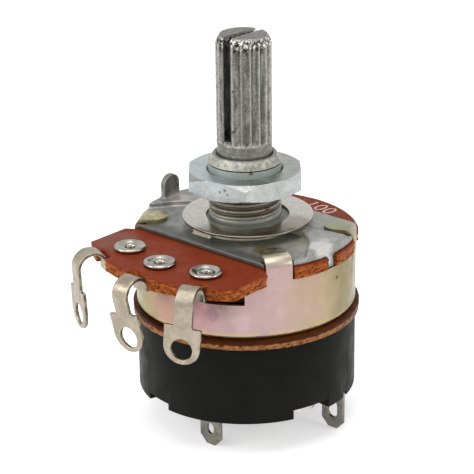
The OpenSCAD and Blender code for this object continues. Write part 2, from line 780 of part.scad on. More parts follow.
// Switch lug: a foot held by its rivet, and a blade with a chamfered tip and a slotted hole
module switch_lug(foot_side, at, hole, hole_len) {
    tip_h = 0.9;
    half = lug_w / 2;
    foot_angle = pivot_angle + foot_side * contact_spread;
    rivet_at = contact_r * [cos(foot_angle), sin(foot_angle)];
    run = at - rivet_at;
    hole_z = lug_tip + tip_h + hole_len / 2 + 0.4;
    color([0.55, 0.53, 0.5]) difference() {
        union() {
            // foot, kept inside the housing's rim
            translate([0, 0, underside - lug_t]) linear_extrude(lug_t) intersection() {
                circle(r = rim_r - 0.1);
                translate(rivet_at) {
                    circle(r = lug_head_r - 0.2, $fn = hole_fn);
                    rotate(atan2(run[1], run[0])) translate([0, -lug_foot_w / 2])
                        square([norm(run), lug_foot_w]);
                }
            }
            translate([at[0], at[1], 0]) rotate([90, 0, 0]) linear_extrude(lug_t) polygon([
                [-half, underside], [-half, lug_tip + tip_h], [-half * 0.4, lug_tip], [half * 0.4, lug_tip],
                [half, lug_tip + tip_h], [half, underside]]);
        }
        translate([rivet_at[0], rivet_at[1], underside - lug_t - 1])
            cylinder(r = clamp_shank_r + fit_gap, h = lug_t + 2, $fn = hole_fn);
        translate([at[0], at[1] + 1, hole_z]) rotate([90, 0, 0]) {
            translate([0, -hole_len / 2 + hole / 2, 0]) cylinder(d = hole, h = lug_t + 2, $fn = hole_fn);
            translate([0, hole_len / 2 - hole / 2, 0]) cylinder(d = hole, h = lug_t + 2, $fn = hole_fn);
            translate([-hole / 2, -hole_len / 2 + hole / 2, 0]) cube([hole, hole_len - hole, lug_t + 2]);
        }
    }
}

module switch_lug_front() { switch_lug(-1, front_lug_at, front_lug_hole, front_lug_hole * 1.4); }

module switch_lug_side() { switch_lug(1, side_lug_at, side_lug_hole, side_lug_hole * 1.6); }

module lever_pivot() {
    color([0.7, 0.7, 0.7]) rotate(pivot_angle) translate([pivot_r, 0, underside])
        cylinder(r = pivot_pin_r, h = disc_bottom - 0.3 - underside, $fn = hole_fn);
}

// Lever of the switch, in its on position: a fork for the drive pin and an arm for the contact
module switch_lever() {
    long_prong = pivot_r - drive_pin_orbit + drive_pin_r - 0.1;
    short_prong = pivot_r - drive_pin_orbit - drive_pin_r - 0.6;
    color([0.85, 0.82, 0.74]) rotate(pivot_angle) translate([pivot_r, 0, 0]) difference() {
        union() {
            translate([0, 0, lever_bottom])
                cylinder(r = hub_lever_r, h = disc_bottom - 0.5 - lever_bottom, $fn = hole_fn);
            translate([-long_prong, prong_gap, fork_top - fork_t]) cube([long_prong, prong_t, fork_t]);
            translate([-short_prong, -prong_gap - prong_t, fork_top - fork_t])
                cube([short_prong, prong_t, fork_t]);
            translate([0, -1.2, lever_bottom]) cube([contact_r - pivot_r + 0.8, 2.4, contact_arm_t]);
        }
        translate([0, 0, lever_bottom - 1])
            cylinder(r = pivot_pin_r + fit_gap, h = disc_bottom - lever_bottom + 2, $fn = hole_fn);
    }
}

module moving_contact() {
    reach_x = contact_r * cos(contact_spread) - pivot_r;
    reach_y = contact_r * sin(contact_spread);
    dimple_h = lever_bottom - blade_t - blade_bottom;
    dimple_r = 0.35;
    pad_r = 0.7;
    color([0.85, 0.65, 0.35]) rotate(pivot_angle) translate([pivot_r, 0, 0]) {
        difference() {
            translate([reach_x - pad_r, -reach_y, lever_bottom - blade_t])
                cube([pad_r * 2, reach_y * 2, blade_t]);
            translate([0, 0, lever_bottom - blade_t - 1])
                cylinder(r = pivot_pin_r + free_gap, h = blade_t + 2, $fn = hole_fn);
        }
        for (side = [-1, 1]) translate([reach_x, side * reach_y, 0]) {
            translate([0, 0, lever_bottom - blade_t]) cylinder(r = pad_r, h = blade_t, $fn = hole_fn);
            translate([0, 0, blade_bottom]) cylinder(r = dimple_r, h = dimple_h + eps, $fn = hole_fn);
        }
    }
}

// Places its children along one wing of the leaf spring: -1 is the inner wing, 1 the outer
module at_leaf(side) {
    rotate(pivot_angle) translate([pivot_r, -leaf_nose, 0]) rotate(leaf_turn - 90 + side * leaf_spread)
        children();
}

// Leaf spring, bent to a nose that bears on the lever's hub
module snap_spring() {
    color([0.7, 0.7, 0.68]) translate([0, 0, leaf_bottom]) {
        at_leaf(-1) translate([0, -leaf_t / 2, 0]) cube([leaf_wing, leaf_t, leaf_h]);
        at_leaf(1) translate([0, -leaf_t / 2, 0]) cube([leaf_wing * 0.78, leaf_t, leaf_h]);
    }
}

bushing_plate();
flat_washer();
hex_nut();
shaft();
shaft_clip();
rotor_clip();
rotor();
wiper();
switch_driver();
element_board();
carbon_track();
collector_track();
terminal_left();
terminal_centre();
terminal_right();
terminal_rivets();
cover();
switch_disc();
switch_housing();
housing_rivets();
switch_lug_front();
switch_lug_side();
contact_rivets();
switch_lever();
lever_pivot();
moving_contact();
snap_spring();
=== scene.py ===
import math

import bmesh
import bpy
import numpy as np
from mathutils import Matrix, Vector, noise


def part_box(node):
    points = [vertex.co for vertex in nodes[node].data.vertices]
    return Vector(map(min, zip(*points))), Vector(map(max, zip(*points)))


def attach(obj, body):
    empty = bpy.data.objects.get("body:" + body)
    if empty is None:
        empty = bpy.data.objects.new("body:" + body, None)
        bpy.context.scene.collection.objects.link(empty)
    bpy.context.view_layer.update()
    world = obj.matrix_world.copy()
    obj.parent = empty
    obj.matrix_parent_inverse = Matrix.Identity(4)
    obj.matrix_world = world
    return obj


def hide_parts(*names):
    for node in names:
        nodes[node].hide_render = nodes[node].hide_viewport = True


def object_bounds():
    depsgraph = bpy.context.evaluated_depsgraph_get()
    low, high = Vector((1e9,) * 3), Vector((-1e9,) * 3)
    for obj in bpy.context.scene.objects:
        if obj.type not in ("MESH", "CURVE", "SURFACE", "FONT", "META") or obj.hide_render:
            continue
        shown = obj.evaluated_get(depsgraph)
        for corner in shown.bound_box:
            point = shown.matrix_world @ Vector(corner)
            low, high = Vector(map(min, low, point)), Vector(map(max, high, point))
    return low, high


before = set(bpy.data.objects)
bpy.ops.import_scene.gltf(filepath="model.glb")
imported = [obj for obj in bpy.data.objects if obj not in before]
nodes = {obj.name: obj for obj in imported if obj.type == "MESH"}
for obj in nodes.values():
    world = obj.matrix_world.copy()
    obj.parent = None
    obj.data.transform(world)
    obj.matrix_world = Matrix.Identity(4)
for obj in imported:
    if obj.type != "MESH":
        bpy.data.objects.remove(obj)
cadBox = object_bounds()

scene = bpy.context.scene
scene.view_settings.view_transform = "Standard"
mm = 0.001


def levelsOf(nodeName):
    # lowest and highest level of a CAD node, in millimetres
    low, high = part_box(nodeName)
    return low[2] / mm, high[2] / mm


# Camera, floor and lamps

viewpoint = dict(
    azimuth=42.0,  # degrees from the terminal side toward +X
    elevation=21.52,
    distance=200.0,
    target=(-0.687, -0.618, -2.559),
    roll=-0.73,
    lens=139.6,
    sensor=36.0,
    clip=(0.005, 20.0),
)

stageLook = dict(
    floorHalf=1500.0,
    floorColor=0.86,
    floorRoughness=0.9,
    floorLift=0.48,  # light added for the camera and for reflections
    skyForObject=0.55,
    lamps=[  # name, azimuth, elevation, distance, size, watts
        ("softTop", 30.0, 78.0, 320.0, 260.0, 0.5),
        ("softLeft", -28.0, 30.0, 340.0, 200.0, 0.42),
        ("softRight", 108.0, 24.0, 340.0, 150.0, 0.2),
    ],
)


def aimFrom(azimuth, elevation, distance, target):
    # where something stands that looks at the target, as one matrix
    turn, rise = math.radians(azimuth), math.radians(elevation)
    away = Vector((math.sin(turn) * math.cos(rise), -math.cos(turn) * math.cos(rise), math.sin(rise)))
    place = Matrix.Translation(Vector(target) * mm + away * distance * mm)
    return place @ (-away).to_track_quat("-Z", "Y").to_matrix().to_4x4()


def placeCamera(view):
    data = bpy.data.cameras.new("photoCamera")
    data.lens = view["lens"]
    data.sensor_width = view["sensor"]
    data.clip_start, data.clip_end = view["clip"]
    camera = bpy.data.objects.new("photoCamera", data)
    aim = aimFrom(view["azimuth"], view["elevation"], view["distance"], view["target"])
    camera.matrix_world = aim @ Matrix.Rotation(math.radians(view["roll"]), 4, "Z")
    scene.collection.objects.link(camera)
    scene.camera = camera


def addLamp(name, azimuth, elevation, distance, size, watts):
    data = bpy.data.lights.new(name, "AREA")
    data.shape = "DISK"
    data.size = size * mm
    data.energy = watts
    lamp = bpy.data.objects.new(name, data)
    lamp.matrix_world = aimFrom(azimuth, elevation, distance, (0, 0, 0))
    scene.collection.objects.link(lamp)


# Small helpers for shader nodes

def tone(red, green, blue):
    # screen levels from 0 to 255, as in the tables below, made the linear colour that shaders use
    levels = [level / 255 for level in (red, green, blue)]
    return tuple(s / 12.92 if s <= 0.04045 else ((s + 0.055) / 1.055) ** 2.4 for s in levels) + (1.0,)


def feed(tree, made, inputs):
    # an input takes a link or a plain value
    for name, value in inputs.items():
        if isinstance(value, bpy.types.NodeSocket):
            tree.links.new(value, made.inputs[name])
        else:
            made.inputs[name].default_value = value


def put(tree, kind, inputs=None, **settings):
    made = tree.nodes.new("ShaderNode" + kind)
    for name, value in settings.items():
        setattr(made, name, value)
    feed(tree, made, inputs or {})
    return made


def calc(tree, operation, *values, clamp=False):
    return put(tree, "Math", dict(enumerate(values)), operation=operation, use_clamp=clamp).outputs[0]


def product(tree, *values):
    result = values[0]
    for value in values[1:]:
        result = calc(tree, "MULTIPLY", result, value)
    return result


def mixColor(tree, factor, first, second):
    return put(tree, "Mix", {0: factor, 6: first, 7: second}, data_type="RGBA").outputs[2]


def tinted(tree, color, shade, *masks):
    # the colour, moved toward a shade where every mask is strong
    return mixColor(tree, product(tree, *masks), color, shade)


def fade(tree, value, start, end, low=0.0, high=1.0):
    # a soft step from low at the start to high at the end
    inputs = {"Value": value, "From Min": start, "From Max": end, "To Min": low, "To Max": high}
    return put(tree, "MapRange", inputs, interpolation_type="SMOOTHSTEP").outputs[0]


def band(tree, value, riseStart, riseEnd, fallStart, fallEnd):
    return product(tree, fade(tree, value, riseStart, riseEnd), fade(tree, value, fallEnd, fallStart))


def pointInMm(tree):
    place = put(tree, "TexCoord").outputs["Object"]
    return put(tree, "VectorMath", {0: place, "Scale": 1 / mm}, operation="SCALE").outputs[0]


def splitUp(tree, vector):
    return put(tree, "SeparateXYZ", {0: vector}).outputs


def normalParts(tree):
    return splitUp(tree, put(tree, "TexCoord").outputs["Normal"])


def fromAxis(tree, parts):
    # distance from the shaft's axis
    flat = put(tree, "CombineXYZ", {0: parts[0], 1: parts[1]}).outputs[0]
    return put(tree, "VectorMath", {0: flat}, operation="LENGTH").outputs["Value"]


def clouds(tree, point, size, detail=3.0, roughness=0.55, stretch=None):
    # noise whose features are about this many millimetres across
    if stretch:
        point = put(tree, "VectorMath", {0: point, 1: stretch}, operation="MULTIPLY").outputs[0]
    scale = calc(tree, "DIVIDE", 1.0, size)
    inputs = {"Vector": point, "Scale": scale, "Detail": detail, "Roughness": roughness}
    return put(tree, "TexNoise", inputs).outputs["Fac"]


def newGroup(name, inputs, output, kind="Float"):
    tree = bpy.data.node_groups.new(name, "ShaderNodeTree")
    for label, value in inputs.items():
        size = len(value) if isinstance(value, tuple) else 1
        given = {1: "NodeSocketFloat", 3: "NodeSocketVector", 4: "NodeSocketColor"}[size]
        tree.interface.new_socket(label, in_out="INPUT", socket_type=given).default_value = value
    tree.interface.new_socket(output, in_out="OUTPUT", socket_type="NodeSocket" + kind)
    return tree, tree.nodes.new("NodeGroupInput").outputs, tree.nodes.new("NodeGroupOutput").inputs[0]


def placeGroup(tree, group, inputs):
    made = tree.nodes.new("ShaderNodeGroup")
    made.node_tree = group
    feed(tree, made, inputs)
    return made.outputs[0]


# Effects that several finishes share

def mottleEffect():
    # two tones in soft clouds, with a fine grain over them
    grey = (0.5, 0.5, 0.5, 1.0)
    defaults = {"Light": grey, "Dark": grey, "Cloud Size": 1.5, "Contrast": 1.5, "Grain Size": 0.12,
                "Grain Amount": 0.3}
    tree, given, result = newGroup("mottledColour", defaults, "Color", "Color")
    point = pointInMm(tree)
    cloud = calc(tree, "SUBTRACT", clouds(tree, point, given["Cloud Size"], 4.0, 0.6), 0.5)
    grain = calc(tree, "SUBTRACT", clouds(tree, point, given["Grain Size"], 2.0), 0.5)
    broad = calc(tree, "MULTIPLY_ADD", cloud, given["Contrast"], 0.5)
    share = calc(tree, "MULTIPLY_ADD", grain, given["Grain Amount"], broad, clamp=True)
    tree.links.new(mixColor(tree, share, given["Dark"], given["Light"]), result)
    return tree


def speckEffect():
    # scattered round specks or pits: one cell in so many carries one
    defaults = {"Spacing": 1.0, "Radius": 0.15, "Share": 0.3}
    tree, given, result = newGroup("scatteredSpecks", defaults, "Mask")
    scale = calc(tree, "DIVIDE", 1.0, given["Spacing"])
    cells = put(tree, "TexVoronoi", {"Vector": pointInMm(tree), "Scale": scale})
    draw = put(tree, "SeparateColor", {"Color": cells.outputs["Color"]})
    size = product(tree, given["Radius"], calc(tree, "ADD", draw.outputs["Green"], 0.3))
    spot = fade(tree, cells.outputs["Distance"], size, product(tree, size, 0.45))
    here = calc(tree, "LESS_THAN", draw.outputs["Red"], given["Share"])
    tree.links.new(product(tree, spot, here), result)
    return tree


def wearEffect():
    # rubbed edges: where a rounded normal departs from the true one
    tree, given, result = newGroup("rubbedEdges", {"Width": 0.15, "Ragged": 0.6}, "Mask")
    rounded = put(tree, "Bevel", {"Radius": product(tree, given["Width"], mm)}, samples=6).outputs[0]
    flat = put(tree, "NewGeometry").outputs["Normal"]
    match = put(tree, "VectorMath", {0: rounded, 1: flat}, operation="DOT_PRODUCT").outputs["Value"]
    bare = fade(tree, match, 0.995, 0.86)
    rough = fade(tree, clouds(tree, pointInMm(tree), 0.5, 4.0), 0.35, 0.65)
    kept = calc(tree, "SUBTRACT", 1.0, product(tree, rough, given["Ragged"]))
    tree.links.new(product(tree, bare, kept), result)
    return tree


def markEffect():
    # one mark with a ragged outline, round a point
    defaults = {"Centre": (0.0, 0.0, 0.0), "Radius": 1.0, "Ragged": 0.6}
    tree, given, result = newGroup("raggedMark", defaults, "Mask")
    point = pointInMm(tree)
    away = put(tree, "VectorMath", {0: point, 1: given["Centre"]}, operation="DISTANCE").outputs["Value"]
    share = calc(tree, "DIVIDE", away, given["Radius"])
    wobble = calc(tree, "SUBTRACT", clouds(tree, point, 0.6, 4.0), 0.5)
    edge = calc(tree, "MULTIPLY_ADD", wobble, given["Ragged"], share)
    tree.links.new(fade(tree, edge, 1.0, 0.55), result)
    return tree


def reliefEffect():
    # a fine height, with a share of a coarser one
    defaults = {"Fine": 0.08, "Coarse": 0.6, "Coarse Share": 0.5}
    tree, given, result = newGroup("fineRelief", defaults, "Height")
    point = pointInMm(tree)
    fine = clouds(tree, point, given["Fine"], 2.0)
    coarse = clouds(tree, point, given["Coarse"], 3.0)
    tree.links.new(calc(tree, "MULTIPLY_ADD", coarse, given["Coarse Share"], fine), result)
    return tree


mottledColour = mottleEffect()
scatteredSpecks = speckEffect()
rubbedEdges = wearEffect()
raggedMark = markEffect()
fineRelief = reliefEffect()

commonLook = dict(
    light=(170, 170, 168),
    dark=(120, 120, 118),
    cloud=1.5,
    contrast=1.5,
    grain=(0.12, 0.4),  # size, amount
    metallic=1.0,
    roughness=0.38,
    roughSwing=0.12,
    specular=0.5,
    specks=(0.9, 0.16, 0.25),  # spacing, radius, share of the cells
    speckColor=(60, 58, 55),
    speckAmount=0.8,
    edge=0.12,
    edgeColor=(215, 215, 212),
    edgeAmount=0.5,
    marks=[],  # centre, radius, colour, strength
    relief=(0.02, 0.1, 0.7),  # height, fine size, coarse size
)


def finish(name, look, paint=None):
    # a surface from one look: clouded colour, marks, specks, rubbed edges and a fine relief
    look = {**commonLook, **look}
    material = bpy.data.materials.new(name)
    material.use_nodes = True
    tree = material.node_tree
    shader = tree.nodes["Principled BSDF"]
    grainSize, grainAmount = look["grain"]
    color = placeGroup(tree, mottledColour, {
        "Light": tone(*look["light"]), "Dark": tone(*look["dark"]), "Cloud Size": look["cloud"],
        "Contrast": look["contrast"], "Grain Size": grainSize, "Grain Amount": grainAmount,
    })
    if paint:
        color = paint(tree, color)
    for centre, radius, markColor, strength in look["marks"]:
        mark = placeGroup(tree, raggedMark, {"Centre": centre, "Radius": radius})
        color = tinted(tree, color, tone(*markColor), mark, strength)
    spacing, radius, share = look["specks"]
    speck = placeGroup(tree, scatteredSpecks, {"Spacing": spacing, "Radius": radius, "Share": share})
    color = tinted(tree, color, tone(*look["speckColor"]), speck, look["speckAmount"])
    if look["edgeAmount"]:
        rub = placeGroup(tree, rubbedEdges, {"Width": look["edge"]})
        color = tinted(tree, color, tone(*look["edgeColor"]), rub, look["edgeAmount"])
    tree.links.new(color, shader.inputs["Base Color"])
    lift, fine, coarse = look["relief"]
    height = placeGroup(tree, fineRelief, {"Fine": fine, "Coarse": coarse})
    height = calc(tree, "SUBTRACT", height, speck)
    bump = put(tree, "Bump", {"Height": height, "Distance": lift * mm, "Strength": 1.0})
    tree.links.new(bump.outputs[0], shader.inputs["Normal"])
    patch = clouds(tree, pointInMm(tree), look["cloud"] * 0.6, 3.0)
    swing = look["roughSwing"]
    gloss = fade(tree, patch, 0.3, 0.7, look["roughness"] - swing, look["roughness"] + swing)
    tree.links.new(gloss, shader.inputs["Roughness"])
    shader.inputs["Metallic"].default_value = look["metallic"]
    shader.inputs["Specular IOR Level"].default_value = look["specular"]
    return material


# Small helpers for meshes, all in millimetres

def newPiece(name, work, table, body, slot, material, *replaced):
    # the finished mesh in metres, smooth but for its sharp edges, as a piece of its body
    mesh = bpy.data.meshes.new(name)
    work.to_mesh(mesh)
    work.free()
    mesh.transform(Matrix.Scale(mm, 4))
    mesh.shade_smooth()
    mesh.set_sharp_from_angle(angle=math.radians(table["sharpAngle"]))
    mesh.materials.clear()
    mesh.materials.append(material)
    piece = bpy.data.objects.new(name, mesh)
    scene.collection.objects.link(piece)
    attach(piece, body)
    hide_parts(*replaced)


def turned(work, profile, steps, shape=None, centre=(0.0, 0.0), ring=True):
    # turns a profile of (radius, height) round the axis; a ring's profile closes on itself
    angles = np.linspace(0.0, 2 * math.pi, steps, endpoint=False)
    rows = []
    for radius, height in profile:
        radii, heights = np.full(steps, radius), np.full(steps, height)
        if shape:
            radii, heights = shape(radii, heights, angles)
        rows.append([work.verts.new((centre[0] + r * math.cos(a), centre[1] + r * math.sin(a), z))
                     for r, z, a in zip(radii, heights, angles)])
    pairs = list(zip(rows, rows[1:])) + ([(rows[-1], rows[0])] if ring else [])
    for lower, upper in pairs:
        for i in range(steps):
            j = (i + 1) % steps
            work.faces.new((lower[i], lower[j], upper[j], upper[i]))
    if not ring:
        work.faces.new(list(reversed(rows[0])))
        work.faces.new(rows[-1])


def arc(centreR, centreZ, radius, start, end, steps=3):
    # points of a rounded corner, angles in degrees from the outward direction
    turns = [math.radians(start + (end - start) * i / steps) for i in range(steps + 1)]
    return [(centreR + radius * math.cos(t), centreZ + radius * math.sin(t)) for t in turns]


def cadCopy(nodeName):
    # the node's mesh in millimetres, its seams joined and its flat faces whole
    work = bmesh.new()
    work.from_mesh(nodes[nodeName].data)
    bmesh.ops.transform(work, matrix=Matrix.Scale(1 / mm, 4), verts=work.verts)
    bmesh.ops.remove_doubles(work, verts=work.verts, dist=0.0005)
    bmesh.ops.dissolve_limit(work, angle_limit=math.radians(0.5), verts=work.verts, edges=work.edges)
    return work


def roundEdges(work, width, segments):
    fold = math.radians(40)  # gentler folds stay as they are
    sharp = [e for e in work.edges if e.is_manifold and e.calc_face_angle(0) > fold]
    bmesh.ops.bevel(work, geom=sharp, offset=width, offset_type="OFFSET", segments=segments,
                    profile=0.5, affect="EDGES", clamp_overlap=True)


def cutAway(work, point, side):
    # removes what lies on one side of a plane, and closes the cut
    cut = bmesh.ops.bisect_plane(work, geom=work.verts[:] + work.edges[:] + work.faces[:],
                                 plane_co=point, plane_no=side, clear_outer=True)
    rim = [e for e in cut["geom_cut"] if isinstance(e, bmesh.types.BMEdge)]
    bmesh.ops.holes_fill(work, edges=rim)


def holdMesh(name, work):
    # a passing object, for modifiers
    mesh = bpy.data.meshes.new(name)
    work.to_mesh(mesh)
    work.free()
    holder = bpy.data.objects.new(name, mesh)
    scene.collection.objects.link(holder)
    return holder


def dropHolder(holder):
    mesh = holder.data
    bpy.data.objects.remove(holder)
    bpy.data.meshes.remove(mesh)


def takeMesh(work, holder):
    # adds what the holder's modifiers made, and drops the holder
    made = bpy.data.meshes.new_from_object(holder.evaluated_get(bpy.context.evaluated_depsgraph_get()))
    work.from_mesh(made)
    bpy.data.meshes.remove(made)
    dropHolder(holder)
    return work


def remeshed(work, voxel, smoothing):
    # an even skin of small faces, whose edges come out slightly rounded
    holder = holdMesh("remeshWork", work)
    remesh = holder.modifiers.new("skin", "REMESH")
    remesh.mode = "VOXEL"
    remesh.voxel_size = voxel
    smooth = holder.modifiers.new("smooth", "SMOOTH")
    smooth.factor = 0.5
    smooth.iterations = smoothing
    return takeMesh(bmesh.new(), holder)


def swell(work, amount, size, pull=0.0):
    # pushes the skin in and out by noise
    work.normal_update()
    moves = [v.normal * (noise.noise(v.co / size) * amount - pull) for v in work.verts]
    for vertex, move in zip(work.verts, moves):
        vertex.co += move


# Shaft

shaftPiece = dict(
    radius=3.0,
    neckRadius=2.955,
    cutHeight=levelsOf("bushing_plate")[1] + 0.3,  # the neck below this is the frame's own
    overlap=0.05,
    knurlBottom=8.5,
    tip=levelsOf("shaft")[1],
    tipLength=1.05,
    tipTaper=0.5,
    tipForm=(0.8, 1.3),  # powers of the climb and of the narrowing
    tipEdge=(0.12, 0.02),  # the tip's edge, drawn in and down
    tipSteps=10,
    teeth=18,
    crestAngle=6.0,  # degrees from +X to the first crest
    grooveDepth=0.33,
    grooveForm=2.1,
    runOut=0.45,
    runOutForm=0.7,
    slotWidth=1.0,
    slotDepth=11.3,
    dent=0.035,
    dentSize=0.55,
    stepsPerTooth=20,
    rowHeight=0.11,
    topRows=(1.6, 0.6),
    sharpAngle=38.0,
    look=dict(
        light=(172, 170, 164), dark=(112, 110, 106), cloud=0.8, contrast=1.6, grain=(0.15, 3.0),
        roughness=0.44, specks=(0.5, 0.14, 0.35), speckColor=(38, 36, 34), edge=0.14,
        edgeColor=(214, 212, 206), relief=(0.045, 0.13, 0.5),
        marks=[
            ((2.72, 0.91, 15.5), 0.17, (26, 24, 22), 1.0),
            ((2.88, -0.15, 14.5), 0.19, (22, 20, 18), 1.0),
            ((2.68, -1.1, 14.7), 0.2, (40, 38, 34), 0.9),
            ((0.9, -2.76, 14.7), 0.16, (40, 38, 34), 0.9),
            ((2.86, -0.33, 11.5), 0.21, (18, 17, 15), 1.0),
            ((2.68, -1.0, 19.2), 0.3, (44, 42, 34), 0.9),
            ((2.76, 0.83, 18.9), 0.22, (52, 50, 44), 0.9),
            ((0.88, -2.7, 10.3), 0.24, (52, 50, 46), 0.8),
            ((1.18, -2.6, 9.8), 0.24, (52, 50, 46), 0.8),
        ],
    ),
)


def knurlTint(tree, color):
    # crests painted light as a highlight and grooves painted dark as shade, with painted shade in pits
    # and painted glints where the teeth end
    radius, bottom, tip = shaftPiece["radius"], shaftPiece["knurlBottom"], shaftPiece["tip"]
    point = pointInMm(tree)
    parts = splitUp(tree, point)
    height, away = parts[2], fromAxis(tree, parts)
    onTeeth = band(tree, height, bottom, bottom + 0.3, tip - 0.35, tip - 0.1)
    # painted shade: the grooves darkened, in streaky tones
    groove = product(tree, fade(tree, away, radius - 0.1, radius - 0.26), onTeeth)
    streaks = fade(tree, clouds(tree, point, 0.5, 4.0, stretch=(1.0, 1.0, 0.2)), 0.4, 0.6)
    depth = product(tree, groove, calc(tree, "MULTIPLY_ADD", streaks, 0.4, 0.35))
    color = mixColor(tree, depth, color, mixColor(tree, streaks, tone(84, 78, 74), tone(62, 66, 60)))
    # painted highlight: the crests lightened
    crest = fade(tree, away, radius - 0.14, radius - 0.05)
    color = tinted(tree, color, tone(184, 182, 176), crest, onTeeth, 0.35)
    # painted shade: dark pits in the grooves near the tip
    atTop = band(tree, height, tip - 2.1, tip - 1.2, tip - 0.4, tip - 0.2)
    pitShade = fade(tree, clouds(tree, point, 0.42, 3.0), 0.56, 0.44)
    color = tinted(tree, color, tone(30, 29, 24), atTop, pitShade, groove)
    # painted glints where the teeth end below the tip
    tipGlints = fade(tree, clouds(tree, point, 0.3), 0.5, 0.6)
    tipGlints = product(tree, tipGlints, band(tree, height, tip - 1.3, tip - 0.9, tip - 0.3, tip - 0.1))
    color = tinted(tree, color, tone(236, 236, 230), tipGlints, 0.8)
    onNeck = fade(tree, height, bottom + 0.2, bottom - 0.1)
    duller = calc(tree, "MAXIMUM", onNeck, fade(tree, height, tip - 0.1, tip - 0.02))
    return tinted(tree, color, tone(88, 90, 84), duller, 0.6)


def slotCutter(piece):
    cutter = bmesh.new()
    bmesh.ops.create_cube(cutter, size=1.0)
    height = piece["slotDepth"] + 2
    bmesh.ops.scale(cutter, vec=(piece["slotWidth"], 8.0, height), verts=cutter.verts)
    middle = piece["tip"] - piece["slotDepth"] + height / 2
    bmesh.ops.translate(cutter, vec=(0, 0, middle), verts=cutter.verts)
    return holdMesh("slotCutter", cutter)


def makeShaft(piece):
    radius, taper, tip = piece["radius"], piece["tipTaper"], piece["tip"]
    coneBase = tip - piece["tipLength"]
    pitch = 360.0 / piece["teeth"]

    def knurl(radii, heights, angles):
        share = ((np.degrees(angles) - piece["crestAngle"]) / pitch) % 1.0
        fromCrest = 2 * np.minimum(share, 1 - share)
        groove = piece["grooveDepth"] * (1 - (1 - fromCrest) ** piece["grooveForm"])
        fadeIn = np.clip((heights - piece["knurlBottom"]) / piece["runOut"], 0, 1)
        cut = radius - groove * fadeIn ** piece["runOutForm"]
        limit = np.where(heights < piece["knurlBottom"], piece["neckRadius"], cut)
        return np.minimum(radii, limit), heights

    top = bmesh.new()
    start = piece["cutHeight"] - piece["overlap"]
    profile = [(radius, z) for z in np.arange(start, coneBase, piece["rowHeight"])]
    climb, narrowing = piece["tipForm"]
    drawnIn, drawnDown = piece["tipEdge"]
    for i in range(piece["tipSteps"] + 1):  # tapered tip, rounded off at its top
        rise = i / piece["tipSteps"]
        level = coneBase + piece["tipLength"] * rise ** climb - drawnDown
        profile.append((radius - taper * rise ** narrowing, level))
    profile += [(radius - taper - drawnIn, tip)] + [(inner, tip) for inner in piece["topRows"]]
    turned(top, profile, piece["teeth"] * piece["stepsPerTooth"], knurl, ring=False)
    for vertex in top.verts:  # casting skin: soft dents, never outward
        dent = 0.5 + 0.5 * noise.noise(vertex.co / piece["dentSize"])
        away = Vector((vertex.co.x, vertex.co.y, 0))
        if away.length > 1:
            vertex.co -= away.normalized() * piece["dent"] * dent
    holder = holdMesh("shaftTop", top)
    cutter = slotCutter(piece)
    cut = holder.modifiers.new("slot", "BOOLEAN")
    cut.operation = "DIFFERENCE"
    cut.solver = "EXACT"
    cut.object = cutter

    work = cadCopy("shaft")
    cutAway(work, (0, 0, piece["cutHeight"]), (0, 0, 1))
    takeMesh(work, holder)
    dropHolder(cutter)
    newPiece("knurledShaft", work, piece, "spindle", "shaft_metal",
             finish("castShaft", piece["look"], knurlTint), "shaft")


# Bush with its thread, and the plate cast with it

castingPiece = dict(
    cutHeight=-0.02,  # the bush above this is turned here, with its thread
    lugInside=-9.0,  # the locating lug stands beyond this X
    lugOverlap=0.6,
    voxel=0.125,
    smoothing=3,
    swell=(0.03, 1.1),
    threadRadius=3.95,
    threadDepth=0.34,
    pitch=0.72,
    crestShare=0.12,  # of half a pitch
    flankShare=0.8,
    threadTop=(5.0, 0.3),  # level, and the length of the run-out there
    threadBottom=(0.55, 0.4),
    slack=0.02,
    undercut=(6.2, 0.3),  # level and depth, below the cone
    shoulder=(6.35, 3.94),  # level and radius
    top=levelsOf("bushing_plate")[1],
    foot=-0.4,  # the turned bush starts inside the boss
    rowHeight=0.045,
    cone=[(3.92, 0.87), (3.8, 0.67), (3.66, 0.42), (3.53, 0.22), (3.42, 0.1)],  # radius, below the top
    bore=3.025,
    boreEdge=[(0.2, 0.02), (0.17, 0.1), (0.04, 0.14), (0.0, 0.25)],  # beyond the bore, below the top
    steps=120,
    sharpAngle=50.0,
    look=dict(
        light=(166, 167, 162), dark=(116, 117, 112), cloud=1.2, contrast=1.6, grain=(0.12, 0.9),
        metallic=0.5, roughness=0.46, specks=(1.1, 0.13, 0.3), speckColor=(48, 46, 42), edge=0.16,
        edgeColor=(205, 205, 202), edgeAmount=0.6, relief=(0.03, 0.16, 0.9),
        marks=[
            ((11.3, -0.9, -0.45), 1.7, (202, 200, 194), 0.85),
            ((10.6, 0.6, -0.9), 1.0, (186, 187, 184), 0.7),
            # the next mark is a painted highlight along the plate's right edge
            ((11.6, -0.6, -2.0), 0.9, (196, 206, 214), 0.9),
            ((6.6, -4.4, -1.0), 1.6, (108, 98, 62), 0.95),
            ((8.0, -0.9, -1.05), 2.2, (168, 164, 148), 0.6),
            ((9.3, -3.65, -0.45), 0.22, (30, 30, 26), 1.0),
            ((-10.0, 0.2, -0.6), 1.7, (178, 166, 162), 0.7),
            ((3.89, -0.71, 1.72), 0.42, (120, 74, 34), 1.0),
            ((3.6, -0.95, 1.72), 0.3, (40, 24, 10), 1.0),
            ((3.08, -2.47, 6.15), 0.3, (86, 52, 30), 0.95),
        ],
    ),
)


